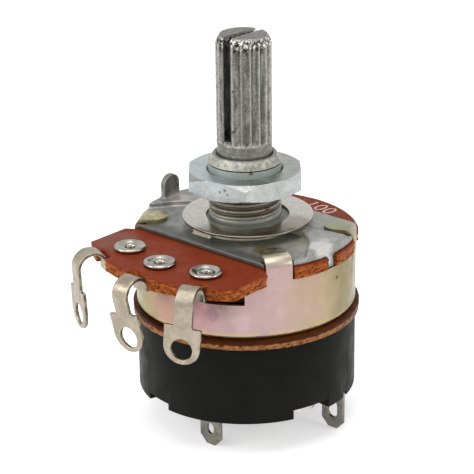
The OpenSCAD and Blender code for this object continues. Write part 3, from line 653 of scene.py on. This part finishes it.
def castingTint(tree, color):
    # tan bush tones with painted shade in the thread's valleys, then the collar, painted light on the
    # bush inside the nut and on the boss wall in the washer's shadow, then the plate, lug and cone
    point = pointInMm(tree)
    parts = splitUp(tree, point)
    height, away = parts[2], fromAxis(tree, parts)
    nearBush = fade(tree, away, 4.6, 4.3)
    onBush = product(tree, fade(tree, height, -0.05, 0.1), nearBush)
    bushToneAndValleyShade = mixColor(tree, clouds(tree, point, 0.5, 4.0), tone(116, 110, 96), tone(182, 176, 160))
    # painted shade: the thread's valleys darkened
    valleyShade = mixColor(tree, clouds(tree, point, 0.6, 4.0), tone(60, 56, 46), tone(118, 112, 98))
    bushToneAndValleyShade = mixColor(tree, fade(tree, away, 3.9, 3.72), bushToneAndValleyShade, valleyShade)
    color = mixColor(tree, onBush, color, bushToneAndValleyShade)
    color = tinted(tree, color, tone(142, 144, 138), fade(tree, height, 1.0, 0.7), onBush, 0.8)
    # painted light: the bush inside the nut's bore lightened
    lightInNut = band(tree, height, 5.0, 5.15, 6.15, 6.25)
    color = tinted(tree, color, tone(160, 168, 164), lightInNut, onBush)
    # painted light: the boss wall in the washer's shadow lightened
    lightOnBoss = product(tree, band(tree, height, -1.0, -0.88, -0.12, -0.05), fade(tree, away, 7.5, 7.3))
    color = tinted(tree, color, tone(212, 205, 180), lightOnBoss, 0.85)
    plateFront = product(tree, fade(tree, parts[1], -4.6, -6.8), fade(tree, height, -0.7, -0.9))
    color = tinted(tree, color, tone(68, 70, 64), plateFront, 0.75)
    onLug = product(tree, fade(tree, parts[0], -9.3, -9.6), fade(tree, height, -0.6, -0.3))
    patchy = fade(tree, clouds(tree, point, 1.0, 4.0), 0.35, 0.65, 0.3, 0.9)
    color = tinted(tree, color, tone(92, 92, 82), onLug, patchy)
    worn = fade(tree, clouds(tree, point, 0.4, 5.0), 0.3, 0.66)
    cone = mixColor(tree, worn, tone(124, 123, 114), tone(174, 174, 165))
    fromLip = calc(tree, "ABSOLUTE", calc(tree, "SUBTRACT", away, 3.36))
    cone = tinted(tree, cone, tone(70, 70, 64), fade(tree, fromLip, 0.09, 0.03), 0.7)
    cone = mixColor(tree, fade(tree, away, 3.22, 3.1), cone, tone(120, 120, 112))
    return tinted(tree, color, cone, fade(tree, height, 6.2, 6.4), nearBush)


def makeCasting(piece):
    lower = cadCopy("bushing_plate")
    cutAway(lower, (0, 0, piece["cutHeight"]), (0, 0, 1))
    lug = cadCopy("bushing_plate")
    cutAway(lug, (piece["lugInside"], 0, 0), (1, 0, 0))
    cutAway(lug, (0, 0, piece["cutHeight"] - piece["lugOverlap"]), (0, 0, -1))
    takeMesh(lower, holdMesh("lugPart", lug))
    lower = remeshed(lower, piece["voxel"], piece["smoothing"])
    swell(lower, *piece["swell"])
    depth, pitch = piece["threadDepth"], piece["pitch"]
    (topLevel, topRun), (lowLevel, lowRun) = piece["threadTop"], piece["threadBottom"]
    neckLevel, neckDepth = piece["undercut"]

    def thread(radii, heights, angles):
        turn = (heights / pitch - angles / (2 * math.pi)) % 1.0
        tooth = np.abs(2 * turn - 1)
        crest = 1 - np.clip((tooth - piece["crestShare"]) / piece["flankShare"], 0, 1)
        crest = crest * crest * (3 - 2 * crest)
        shallow = np.clip((topLevel - heights) / topRun, 0, 1)
        shallow = shallow * np.clip((heights - lowLevel) / lowRun, 0, 1)
        neck = piece["slack"] + np.where(heights > neckLevel, neckDepth, 0.0)
        outer = radii >= piece["threadRadius"] - 0.005
        return np.where(outer, radii - depth * (1 - crest) * shallow - neck, radii), heights

    top, bore, (shoulder, shoulderRadius) = piece["top"], piece["bore"], piece["shoulder"]
    profile = [(piece["threadRadius"], z) for z in np.arange(piece["foot"], shoulder, piece["rowHeight"])]
    profile += [(shoulderRadius, shoulder)] + [(radius, top - down) for radius, down in piece["cone"]]
    lip, soft = piece["cone"][-1]
    profile += arc(lip - soft, top - soft - piece["slack"], soft, 20, 90)
    profile += [(bore + wider, top - down) for wider, down in piece["boreEdge"]]
    profile += [(bore, piece["foot"])]
    turned(lower, profile, piece["steps"], thread)
    newPiece("threadedCasting", lower, piece, "housing", "die_cast",
             finish("dieCast", piece["look"], castingTint), "bushing_plate")


# Hex nut and flat washer

nutPiece = dict(
    acrossFlats=12.0,
    turn=12.0,  # degrees of the first corner from +X
    bottom=levelsOf("hex_nut")[0],
    thickness=2.0,
    bore=4.0,
    boreFlare=0.16,
    bevelShare=0.9,  # of what a corner stands out
    coneSlope=0.6,
    edgeRows=12,
    cornerSoft=0.07,
    cornerStart=22.0,  # degrees from the middle of a flat
    faceRing=5.0,
    dent=0.0025,
    dentSize=0.9,
    steps=288,
    sharpAngle=24.0,
    look=dict(
        light=(190, 193, 191), dark=(142, 146, 143), cloud=1.8, contrast=1.6, grain=(0.1, 0.8),
        roughness=0.32, specks=(0.8, 0.17, 0.2), speckColor=(74, 74, 66), edge=0.1,
        edgeColor=(232, 234, 232), edgeAmount=0.75, relief=(0.025, 0.16, 1.1),
        marks=[
            ((2.2, -5.6, 4.9), 0.22, (84, 84, 70), 0.8),
            ((2.5, -5.45, 4.45), 0.25, (96, 94, 78), 0.8),
            ((1.6, -5.8, 4.6), 0.18, (104, 102, 84), 0.8),
            ((6.3, -1.2, 4.95), 0.24, (76, 76, 64), 0.8),
            ((6.0, -1.9, 5.05), 0.16, (96, 94, 78), 0.8),
        ],
    ),
)


def nutTint(tree, color):
    # the faces painted darker than the flats and graded across, the bevel painted light where it faces
    # away from the front and shaded at the front, and a painted bluish reflection on the flats that face
    # left
    normal = normalParts(tree)
    across = splitUp(tree, pointInMm(tree))
    # painted shade: the faces darker than the flats, lighter and bluish towards the left
    side = fade(tree, calc(tree, "ADD", across[0], across[1]), -5.0, 2.0)
    face = mixColor(tree, side, tone(172, 184, 184), tone(142, 148, 143))
    color = tinted(tree, color, face, fade(tree, normal[2], 0.93, 0.98), 0.75)
    # painted light and shade: the bevel pale where it faces away from the front, darker at the front
    toFront = calc(tree, "MULTIPLY_ADD", normal[0], 0.35, product(tree, normal[1], -0.94))
    bevel = mixColor(tree, fade(tree, toFront, 0.1, 0.35), tone(196, 204, 203), tone(138, 142, 136))
    color = tinted(tree, color, bevel, band(tree, normal[2], 0.2, 0.4, 0.93, 0.98), 0.7)
    # painted reflection: a bluish tint on the flats that face left
    toLeft = calc(tree, "MULTIPLY_ADD", normal[0], -0.6, product(tree, normal[1], -0.8))
    return tinted(tree, color, tone(158, 172, 178), fade(tree, toLeft, 0.4, 0.9), 0.5)


washerPiece = dict(
    outer=7.12,
    inner=4.5,
    thickness=levelsOf("flat_washer")[1],
    edgeRound=0.07,
    faceRing=0.6,
    steps=144,
    sharpAngle=50.0,
    shift=0.27,  # it lies a little off the axis
    shiftAngle=42.0,
    look=dict(
        light=(202, 198, 192), dark=(160, 156, 150), cloud=0.5, contrast=1.1, grain=(0.09, 1.5),
        roughness=0.2, roughSwing=0.04, specks=(0.5, 0.18, 0.3), speckColor=(120, 112, 106), edge=0.1,
        edgeColor=(112, 96, 88), edgeAmount=0.6, relief=(0.004, 0.1, 0.5),
        marks=[
            ((5.8, 1.0, 0.25), 2.8, (134, 127, 114), 0.85),
            ((5.6, -2.6, 0.25), 2.2, (146, 139, 128), 0.7),
        ],
    ),
)


def rimTint(tree, color):
    # the washer's thin side is darker than its faces
    side = fade(tree, calc(tree, "ABSOLUTE", normalParts(tree)[2]), 0.85, 0.5)
    return tinted(tree, color, tone(104, 74, 64), side, 0.85)


def makeNut(piece):
    flat = piece["acrossFlats"] / 2
    corner = flat / math.cos(math.radians(30))
    bevel = (corner - flat) * piece["bevelShare"]
    thick, low = piece["thickness"], piece["bottom"]
    high = low + thick
    coneHeight = bevel * piece["coneSlope"]
    edge = coneHeight + 0.08
    start, rows = piece["cornerStart"], piece["edgeRows"]

    def hexagon(radii, heights, angles):
        local = (np.degrees(angles) - piece["turn"]) % 60 - 30
        soft = piece["cornerSoft"] * np.clip((np.abs(local) - start) / (30 - start), 0, 1) ** 2
        side = flat / np.cos(np.radians(local)) - soft
        fromFace = np.minimum(heights - low, high - heights)
        cone = corner - bevel * (1 - np.clip(fromFace / coneHeight, 0, 1))
        outer = radii > flat - bevel
        return np.where(outer, np.minimum(np.minimum(side, cone), radii), radii), heights

    work = bmesh.new()
    big = corner + 1  # cut back to the hexagon
    rise = [i / rows * edge for i in range(rows + 1)]
    outside = [(big, low + z) for z in rise]
    outside += [(big, low + edge + (thick - 2 * edge) * i / 4) for i in (1, 2, 3)]
    outside += [(big, high - z) for z in reversed(rise)]
    bore, flare, ring = piece["bore"], piece["boreFlare"], piece["faceRing"]
    faceLow = [(bore + flare, low), (ring, low)]
    faceHigh = [(ring, high), (bore + flare + 0.05, high)]
    inside = [(bore + 0.04, high - flare), (bore, high - flare - 0.1), (bore, low + flare)]
    turned(work, faceLow + outside + faceHigh + inside, piece["steps"], hexagon)
    for vertex in work.verts:
        dent = noise.noise(vertex.co / piece["dentSize"]) + 0.6
        if math.hypot(vertex.co.x, vertex.co.y) > bore + 0.6:
            vertex.co *= 1 - piece["dent"] * max(dent, 0)
    newPiece("hexNut", work, piece, "nut", "zinc_nut",
             finish("zincPlate", piece["look"], nutTint), "hex_nut")


def makeWasher(piece):
    soft, face = piece["edgeRound"], piece["faceRing"]
    outer, inner, height = piece["outer"], piece["inner"], piece["thickness"]
    profile = [(inner + face, 0.0), (outer - face, 0.0)]
    profile += arc(outer - soft, soft, soft, -90, 0) + arc(outer - soft, height - soft, soft, 0, 90)
    profile += [(outer - face, height), (inner + face, height)]
    profile += arc(inner + soft, height - soft, soft, 90, 180) + arc(inner + soft, soft, soft, 180, 270)
    away = math.radians(piece["shiftAngle"])
    centre = (piece["shift"] * math.cos(away), piece["shift"] * math.sin(away))
    work = bmesh.new()
    turned(work, profile, piece["steps"], centre=centre)
    newPiece("flatWasher", work, piece, "housing", "washer_steel",
             finish("satinSteel", piece["look"], rimTint), "flat_washer")


# Element board and the disc between cover and switch, both sheared from brown laminate

shearedPieces = dict(
    voxel=0.17,
    smoothing=1,
    sharpAngle=40.0,
    steepest=0.75,  # the tear starts where the normal's Z falls below this
    layering=2.2,  # flattens the noise into layers
    noises=[(1.3, 0.55), (0.4, 0.45)],  # size and share
    lift=0.35,
    downForm=1.5,
    strength=1.4,
)

boardPiece = dict(
    top=levelsOf("element_board")[1],
    bottom=levelsOf("element_board")[0],
    shallow=0.05,  # how far the tear goes in, at the top and at the bottom
    deep=0.3,
    lightFibre=(184, 100, 48),
    darkFibre=(112, 48, 18),
    cleanShare=0.0,
    look=dict(
        light=(134, 57, 31), dark=(102, 37, 18), cloud=3.0, contrast=1.0, grain=(0.1, 0.3),
        metallic=0.0, roughness=0.44, roughSwing=0.08, specks=(1.4, 0.06, 0.2),
        speckColor=(60, 22, 12), edgeAmount=0.0, specular=0.05, relief=(0.012, 0.12, 0.8),
        marks=[
            # the next two marks are painted sheen: a pale pink spot and a broad pinkish patch over the
            # board's front left
            ((-6.6, -11.0, -1.62), 0.3, (190, 160, 150), 0.7),
            ((-8.4, -11.6, -1.62), 3.2, (120, 84, 74), 0.5),
        ],
    ),
)

discPiece = dict(
    top=levelsOf("switch_disc")[1],
    bottom=levelsOf("switch_disc")[0],
    shallow=0.02,
    deep=0.22,
    lightFibre=(176, 124, 80),
    darkFibre=(112, 62, 34),
    cleanShare=0.4,
    look=dict(
        light=(88, 42, 14), dark=(50, 20, 6), cloud=2.0, contrast=1.0, grain=(0.1, 0.5),
        metallic=0.0, roughness=0.4, specular=0.05, specks=(0.9, 0.1, 0.2), speckColor=(36, 14, 6),
        edgeAmount=0.0, relief=(0.02, 0.14, 0.5),
    ),
)


def fibreEdge(piece):
    # the sheared edge: clean near its top, torn fibre layers below
    def paint(tree, color):
        point = pointInMm(tree)
        steep = calc(tree, "ABSOLUTE", normalParts(tree)[2])
        depth = fade(tree, splitUp(tree, point)[2], piece["top"], piece["bottom"])
        layers = clouds(tree, point, 0.7, 5.0, 0.7, (1.0, 1.0, 2.6))
        strands = clouds(tree, point, 0.22, 3.0, 0.6, (1.0, 1.0, 1.6))
        dark, light = tone(*piece["darkFibre"]), tone(*piece["lightFibre"])
        fibre = mixColor(tree, fade(tree, layers, 0.36, 0.62), dark, light)
        fibre = mixColor(tree, fade(tree, strands, 0.56, 0.75, 0.0, 0.5), fibre, tone(204, 138, 78))
        fissure = fade(tree, clouds(tree, point, 0.9, 4.0, 0.65, (1.0, 1.0, 3.2)), 0.42, 0.35)
        fibre = tinted(tree, fibre, tone(44, 14, 6), fissure, 0.85)
        clean = piece["cleanShare"]
        torn = fade(tree, calc(tree, "MULTIPLY_ADD", layers, 0.5, depth), clean + 0.15, clean + 0.4)
        return tinted(tree, color, fibre, fade(tree, steep, 0.8, 0.6), torn)
    return paint


def makeSheared(nodeName, name, slot, finishName, piece):
    tears = shearedPieces
    work = remeshed(cadCopy(nodeName), tears["voxel"], tears["smoothing"])
    work.normal_update()
    thick = piece["top"] - piece["bottom"]
    moves = []
    for vertex in work.verts:
        steep = 1 - min(abs(vertex.normal.z) / tears["steepest"], 1)
        down = min(max((piece["top"] - vertex.co.z) / thick, 0), 1)
        layer = Vector((vertex.co.x, vertex.co.y, vertex.co.z * tears["layering"]))
        tear = sum(share * noise.noise(layer / size) for size, share in tears["noises"]) + tears["lift"]
        reach = piece["shallow"] + (piece["deep"] - piece["shallow"]) * down ** tears["downForm"]
        away = Vector((vertex.normal.x, vertex.normal.y, 0))
        moves.append(-away * steep * reach * max(tear, 0) * tears["strength"])
    for vertex, move in zip(work.verts, moves):
        vertex.co += move
    newPiece(name, work, tears, "housing", slot,
             finish(finishName, piece["look"], fibreEdge(piece)), nodeName)


# Printed value on the board, plain digits

printPiece = dict(
    digits="100",
    size=2.7,
    place=(-0.1, 9.75),
    level=boardPiece["top"],
    turn=-8.0,
    height=0.012,
    spacing=1.05,
    thinning=-0.012,
    look=dict(
        light=(222, 196, 186), dark=(190, 146, 130), cloud=0.6, metallic=0.0, roughness=0.5,
        edgeAmount=0.0, specks=(0.4, 0.2, 0.2), speckColor=(170, 110, 90), relief=(0.005, 0.1, 0.7),
    ),
)


def makePrint(piece):
    data = bpy.data.curves.new("printedValue", "FONT")
    data.body = piece["digits"]
    data.size = piece["size"] * mm
    data.space_character = piece["spacing"]
    data.extrude = piece["height"] / 2 * mm
    data.offset = piece["thinning"] * mm
    data.materials.append(finish("printInk", piece["look"]))
    digits = bpy.data.objects.new("printedValue", data)
    scene.collection.objects.link(digits)
    place = Vector((*piece["place"], piece["level"] + piece["height"] / 2)) * mm
    turn = Matrix.Rotation(math.radians(piece["turn"]), 4, "Z")
    digits.matrix_world = Matrix.Translation(place) @ turn
    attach(digits, "housing")


# Terminals, their rivets and the switch lugs

sheetPieces = dict(
    voxel=0.075,
    smoothing=2,
    swell=(0.012, 0.9, 0.008),  # the last one pulls it in, so that no bump leaves the solid's box
    sharpAngle=60.0,
    terminalLook=dict(
        light=(177, 166, 150), dark=(132, 122, 106), cloud=1.3, grain=(0.12, 1.1), roughness=0.34,
        specks=(0.5, 0.12, 0.25), speckColor=(96, 74, 50), edgeColor=(222, 216, 206),
        relief=(0.018, 0.12, 0.6),
    ),
    lugLook=dict(
        light=(146, 142, 134), dark=(98, 94, 86), cloud=0.9, grain=(0.12, 0.8), roughness=0.34,
        specks=(0.6, 0.16, 0.25), speckColor=(80, 66, 52), edgeColor=(222, 218, 210),
        edgeAmount=0.6, relief=(0.018, 0.12, 0.6),
    ),
)

rivetPiece = dict(
    spots=3,
    orbit=13.4,
    pitchAngle=24.0,
    boardTop=boardPiece["top"],
    clinchTop=-3.42,
    head=1.72,
    headHeight=0.5,
    shank=0.8,
    hollow=0.5,
    clinchHead=1.28,
    steps=56,
    sharpAngle=45.0,
    look=dict(
        light=(190, 186, 178), dark=(126, 120, 111), cloud=1.0, contrast=1.4, grain=(0.1, 0.4),
        roughness=0.2, roughSwing=0.06, specks=(0.5, 0.12, 0.08), speckColor=(90, 80, 66), edge=0.1,
        edgeColor=(250, 250, 248), edgeAmount=0.4, relief=(0.005, 0.14, 0.5),
    ),
)


def shearedTint(tree, color):
    # the strips' sheared sides are bare and partly dark
    side = fade(tree, calc(tree, "ABSOLUTE", normalParts(tree)[0]), 0.72, 0.9)
    patchy = fade(tree, clouds(tree, pointInMm(tree), 0.9, 4.0), 0.42, 0.58, 0.25, 1.0)
    return tinted(tree, color, tone(96, 86, 66), side, patchy)


def makeStamped(nodeName, name, slot, material):
    work = remeshed(cadCopy(nodeName), sheetPieces["voxel"], sheetPieces["smoothing"])
    swell(work, *sheetPieces["swell"])
    newPiece(name, work, sheetPieces, "housing", slot, material, nodeName)


def makeRivets(piece):
    base, head, shank, hollow = piece["boardTop"], piece["head"], piece["shank"], piece["hollow"]
    clinch, low = piece["clinchTop"], piece["clinchHead"]
    crown = [  # radius, and share of the head's height: rolled edge, dish and raised lip
        (head - 0.24, 0.0), (head - 0.06, 0.3), (head, 0.55), (head - 0.02, 0.78), (head - 0.12, 0.95),
        (head - 0.22, 1.0), (head - 0.34, 0.94), (1.18, 0.72), (1.0, 0.5), (0.88, 0.46), (0.78, 0.56),
        (0.7, 0.62), (0.61, 0.54), (0.53, 0.3),
    ]
    profile = [(shank, base)] + [(radius, base + piece["headHeight"] * share) for radius, share in crown]
    profile += [(hollow, base - 0.5), (hollow, clinch - 0.25), (hollow + 0.04, clinch - 0.35)]
    profile += [(1.1, clinch - 0.35), (low, clinch - 0.2), (low, clinch), (shank, clinch)]
    work = bmesh.new()
    for i in range(piece["spots"]):
        turn = math.radians(-90 + (i - 1) * piece["pitchAngle"])
        centre = (piece["orbit"] * math.cos(turn), piece["orbit"] * math.sin(turn))
        turned(work, profile, piece["steps"], centre=centre)
    newPiece("hollowRivets", work, piece, "housing", "rivet_metal",
             finish("brightRivet", piece["look"]), "terminal_rivets")


# Steel cover with its folded tabs

coverPiece = dict(
    round=0.07,
    sharpAngle=40.0,
    look=dict(
        light=(190, 162, 154), dark=(166, 140, 130), cloud=1.6, contrast=1.4, grain=(0.1, 0.25),
        metallic=0.85, roughness=0.34, roughSwing=0.07, specks=(1.1, 0.07, 0.22),
        speckColor=(96, 84, 70), edgeColor=(232, 226, 206), edgeAmount=0.35,
        relief=(0.012, 0.18, 1.6),
        marks=[
            ((4.96, -10.93, -6.72), 0.95, (128, 100, 126), 0.4),
            ((7.6, -9.3, -7.4), 1.3, (206, 176, 178), 0.2),
            ((10.4, -6.0, -6.4), 0.9, (200, 178, 160), 0.2),
            ((11.9, 1.0, -4.4), 0.25, (92, 60, 36), 0.9),
            ((-1.0, -11.95, -7.4), 1.6, (200, 146, 128), 0.18),
        ],
    ),
    film=[  # degrees round the axis from +X, and the passivated film's colour there
        (-180, (150, 156, 112)),
        (-112, (142, 138, 82)),
        (-98, (162, 134, 106)),
        (-76, (166, 122, 124)),
        (-54, (172, 148, 150)),
        (-30, (177, 150, 146)),
        (-8, (170, 150, 118)),
        (16, (122, 118, 70)),
        (180, (150, 156, 112)),
    ],
    tabs=[  # the folded tabs, as the film above
        (-180, (186, 172, 128)),
        (-110, (186, 172, 128)),
        (-60, (104, 94, 66)),
        (0, (104, 94, 66)),
        (25, (138, 144, 112)),
        (180, (140, 144, 116)),
    ],
)


def rampRound(tree, share, stops):
    # colours round the axis, from -180 to 180 degrees
    ramp = put(tree, "ValToRGB", {"Fac": share})
    steps = ramp.color_ramp.elements
    while len(steps) < len(stops):
        steps.new(0.5)
    for step, (degrees, stepColor) in zip(steps, stops):
        step.position = (degrees + 180) / 360
        step.color = tone(*stepColor)
    return ramp.outputs["Color"]


def passivatedFilm(tree, color):
    # the film's colours drift round the can, with a painted highlight along its bottom edge, and the tabs
    # carry stains and painted highlights at their folds
    point = pointInMm(tree)
    parts = splitUp(tree, point)
    height, upward = parts[2], normalParts(tree)[2]
    share = calc(tree, "MULTIPLY_ADD", calc(tree, "ARCTAN2", parts[1], parts[0]), 1 / (2 * math.pi), 0.5)
    drift = calc(tree, "SUBTRACT", clouds(tree, point, 4.0, 3.0), 0.5)
    film = rampRound(tree, calc(tree, "MULTIPLY_ADD", drift, 0.12, share), coverPiece["film"])
    color = mixColor(tree, 0.8, color, film)
    # painted highlight: a streaky yellow band along the cover's bottom edge
    streaks = fade(tree, clouds(tree, point, 1.6, 4.0, 0.6, (1.0, 1.0, 0.45)), 0.35, 0.62, 0.15, 0.75)
    color = tinted(tree, color, tone(196, 178, 112), fade(tree, height, -8.4, -9.2), streaks)
    scratch = fade(tree, clouds(tree, point, 0.5, 6.0, 0.75), 0.62, 0.7, 0.0, 0.35)
    color = mixColor(tree, scratch, color, tone(128, 112, 104))
    high = fade(tree, height, -1.9, -1.5)
    stains = fade(tree, clouds(tree, point, 0.7, 4.0), 0.4, 0.62)
    worn = mixColor(tree, stains, rampRound(tree, share, coverPiece["tabs"]), tone(150, 146, 118))
    # painted highlight: cream on the front right tab's flat near its fold, which worn then carries
    foldHighlight = product(tree, fade(tree, fromAxis(tree, parts), 10.2, 10.7), fade(tree, parts[0], 2.0, 4.0))
    worn = tinted(tree, worn, tone(216, 208, 184), foldHighlight, fade(tree, parts[1], -2.0, -4.0))
    color = tinted(tree, color, worn, fade(tree, upward, 0.75, 0.97), high)
    # painted highlight: a pale band where the folds turn from upright to flat
    return tinted(tree, color, tone(168, 163, 144), band(tree, upward, 0.25, 0.5, 0.75, 0.92), high, 0.8)


def makeCover(piece):
    work = cadCopy("cover")
    roundEdges(work, piece["round"], 2)
    newPiece("drawnCover", work, piece, "housing", "passivated_steel",
             finish("passivatedCover", piece["look"], passivatedFilm), "cover")


# Switch housing

housingPiece = dict(
    round=0.16,
    sharpAngle=40.0,
    look=dict(
        light=(27, 27, 24), dark=(17, 17, 15), cloud=3.0, contrast=1.2, grain=(0.1, 0.3),
        metallic=0.0, roughness=0.46, roughSwing=0.08, specks=(1.6, 0.05, 0.2),
        speckColor=(56, 55, 52), edge=0.2, specular=0.06, edgeColor=(48, 48, 46),
        relief=(0.01, 0.2, 1.8),
    ),
)


def makeHousing(piece):
    work = cadCopy("switch_housing")
    roundEdges(work, piece["round"], 3)
    newPiece("switchBase", work, piece, "housing", "black_resin",
             finish("blackResin", piece["look"]), "switch_housing")


# Pieces that keep the frame's own shape

innerLooks = {  # nodes, light, dark, metallic, roughness
    "springSteel": (["shaft_clip", "rotor_clip", "snap_spring", "lever_pivot"],
                    (150, 150, 150), (104, 104, 104), 1.0, 0.35),
    "brownResin": (["rotor"], (82, 60, 44), (56, 40, 30), 0.0, 0.45),
    "bronzeStrip": (["wiper", "moving_contact"], (206, 160, 96), (160, 118, 62), 1.0, 0.3),
    "platedDriver": (["switch_driver"], (190, 186, 170), (146, 142, 128), 1.0, 0.38),
    "carbonFilm": (["carbon_track"], (40, 40, 40), (24, 24, 24), 0.0, 0.6),
    "silverInk": (["collector_track"], (196, 196, 190), (160, 160, 152), 0.9, 0.42),
    "ivoryResin": (["switch_lever"], (222, 214, 192), (196, 186, 160), 0.0, 0.4),
    "rivetSteel": (["housing_rivets", "contact_rivets"], (214, 212, 206), (160, 158, 150), 1.0, 0.26),
}


def dressInner(looks):
    for name, (members, light, dark, metallic, roughness) in looks.items():
        look = dict(light=light, dark=dark, metallic=metallic, roughness=roughness,
                    edgeAmount=0.3 if metallic else 0.0)
        material = finish(name, look)
        for member in members:
            nodes[member].data.materials.clear()
            nodes[member].data.materials.append(material)


def seenDirectly(tree):
    # 1 for what the camera, a reflection or a clear piece sees, 0 for the light on the object
    rays = put(tree, "LightPath").outputs
    seen = calc(tree, "MAXIMUM", rays["Is Camera Ray"], rays["Is Glossy Ray"])
    return calc(tree, "MAXIMUM", seen, rays["Is Transmission Ray"])


def makeStage(look):
    half, level = look["floorHalf"] * mm, cadBox[0][2]
    mesh = bpy.data.meshes.new("floor")
    corners = [(-half, -half, level), (half, -half, level), (half, half, level), (-half, half, level)]
    mesh.from_pydata(corners, [], [(0, 1, 2, 3)])
    floor = bpy.data.objects.new("floor", mesh)
    scene.collection.objects.link(floor)
    material = bpy.data.materials.new("paleFloor")
    material.use_nodes = True
    tree = material.node_tree
    shader = tree.nodes["Principled BSDF"]
    shader.inputs["Base Color"].default_value = (look["floorColor"],) * 3 + (1.0,)
    shader.inputs["Roughness"].default_value = look["floorRoughness"]
    shader.inputs["Specular IOR Level"].default_value = 0.0
    shader.inputs["Emission Color"].default_value = (1.0, 1.0, 1.0, 1.0)
    lift = product(tree, seenDirectly(tree), look["floorLift"])
    tree.links.new(lift, shader.inputs["Emission Strength"])
    mesh.materials.append(material)

    world = bpy.data.worlds.new("softRoom")
    world.use_nodes = True
    scene.world = world
    tree = world.node_tree
    background = tree.nodes["Background"]
    background.inputs["Color"].default_value = (1.0, 1.0, 1.0, 1.0)
    strength = fade(tree, seenDirectly(tree), 0.0, 1.0, look["skyForObject"], 1.0)
    tree.links.new(strength, background.inputs["Strength"])
    for lamp in look["lamps"]:
        addLamp(*lamp)


placeCamera(viewpoint)
makeStage(stageLook)
print("stage ready")

makeShaft(shaftPiece)
print("shaft ready")
makeCasting(castingPiece)
print("casting and thread ready")
makeNut(nutPiece)
makeWasher(washerPiece)
print("nut and washer ready")

makeSheared("element_board", "elementBoard", "phenolic", "laminateBoard", boardPiece)
makeSheared("switch_disc", "switchDisc", "disc_resin", "fibreDisc", discPiece)
makePrint(printPiece)
print("board and disc ready")

terminalMetal = finish("tinnedBrass", sheetPieces["terminalLook"], shearedTint)
for side in ("left", "centre", "right"):
    makeStamped("terminal_" + side, side + "Terminal", "tinned_brass", terminalMetal)
lugMetal = finish("lugSteel", sheetPieces["lugLook"])
for side in ("front", "side"):
    makeStamped("switch_lug_" + side, side + "SwitchLug", "lug_metal", lugMetal)
makeRivets(rivetPiece)
print("terminals, lugs and rivets ready")

makeCover(coverPiece)
makeHousing(housingPiece)
dressInner(innerLooks)
print("cover, housing and inner pieces ready")
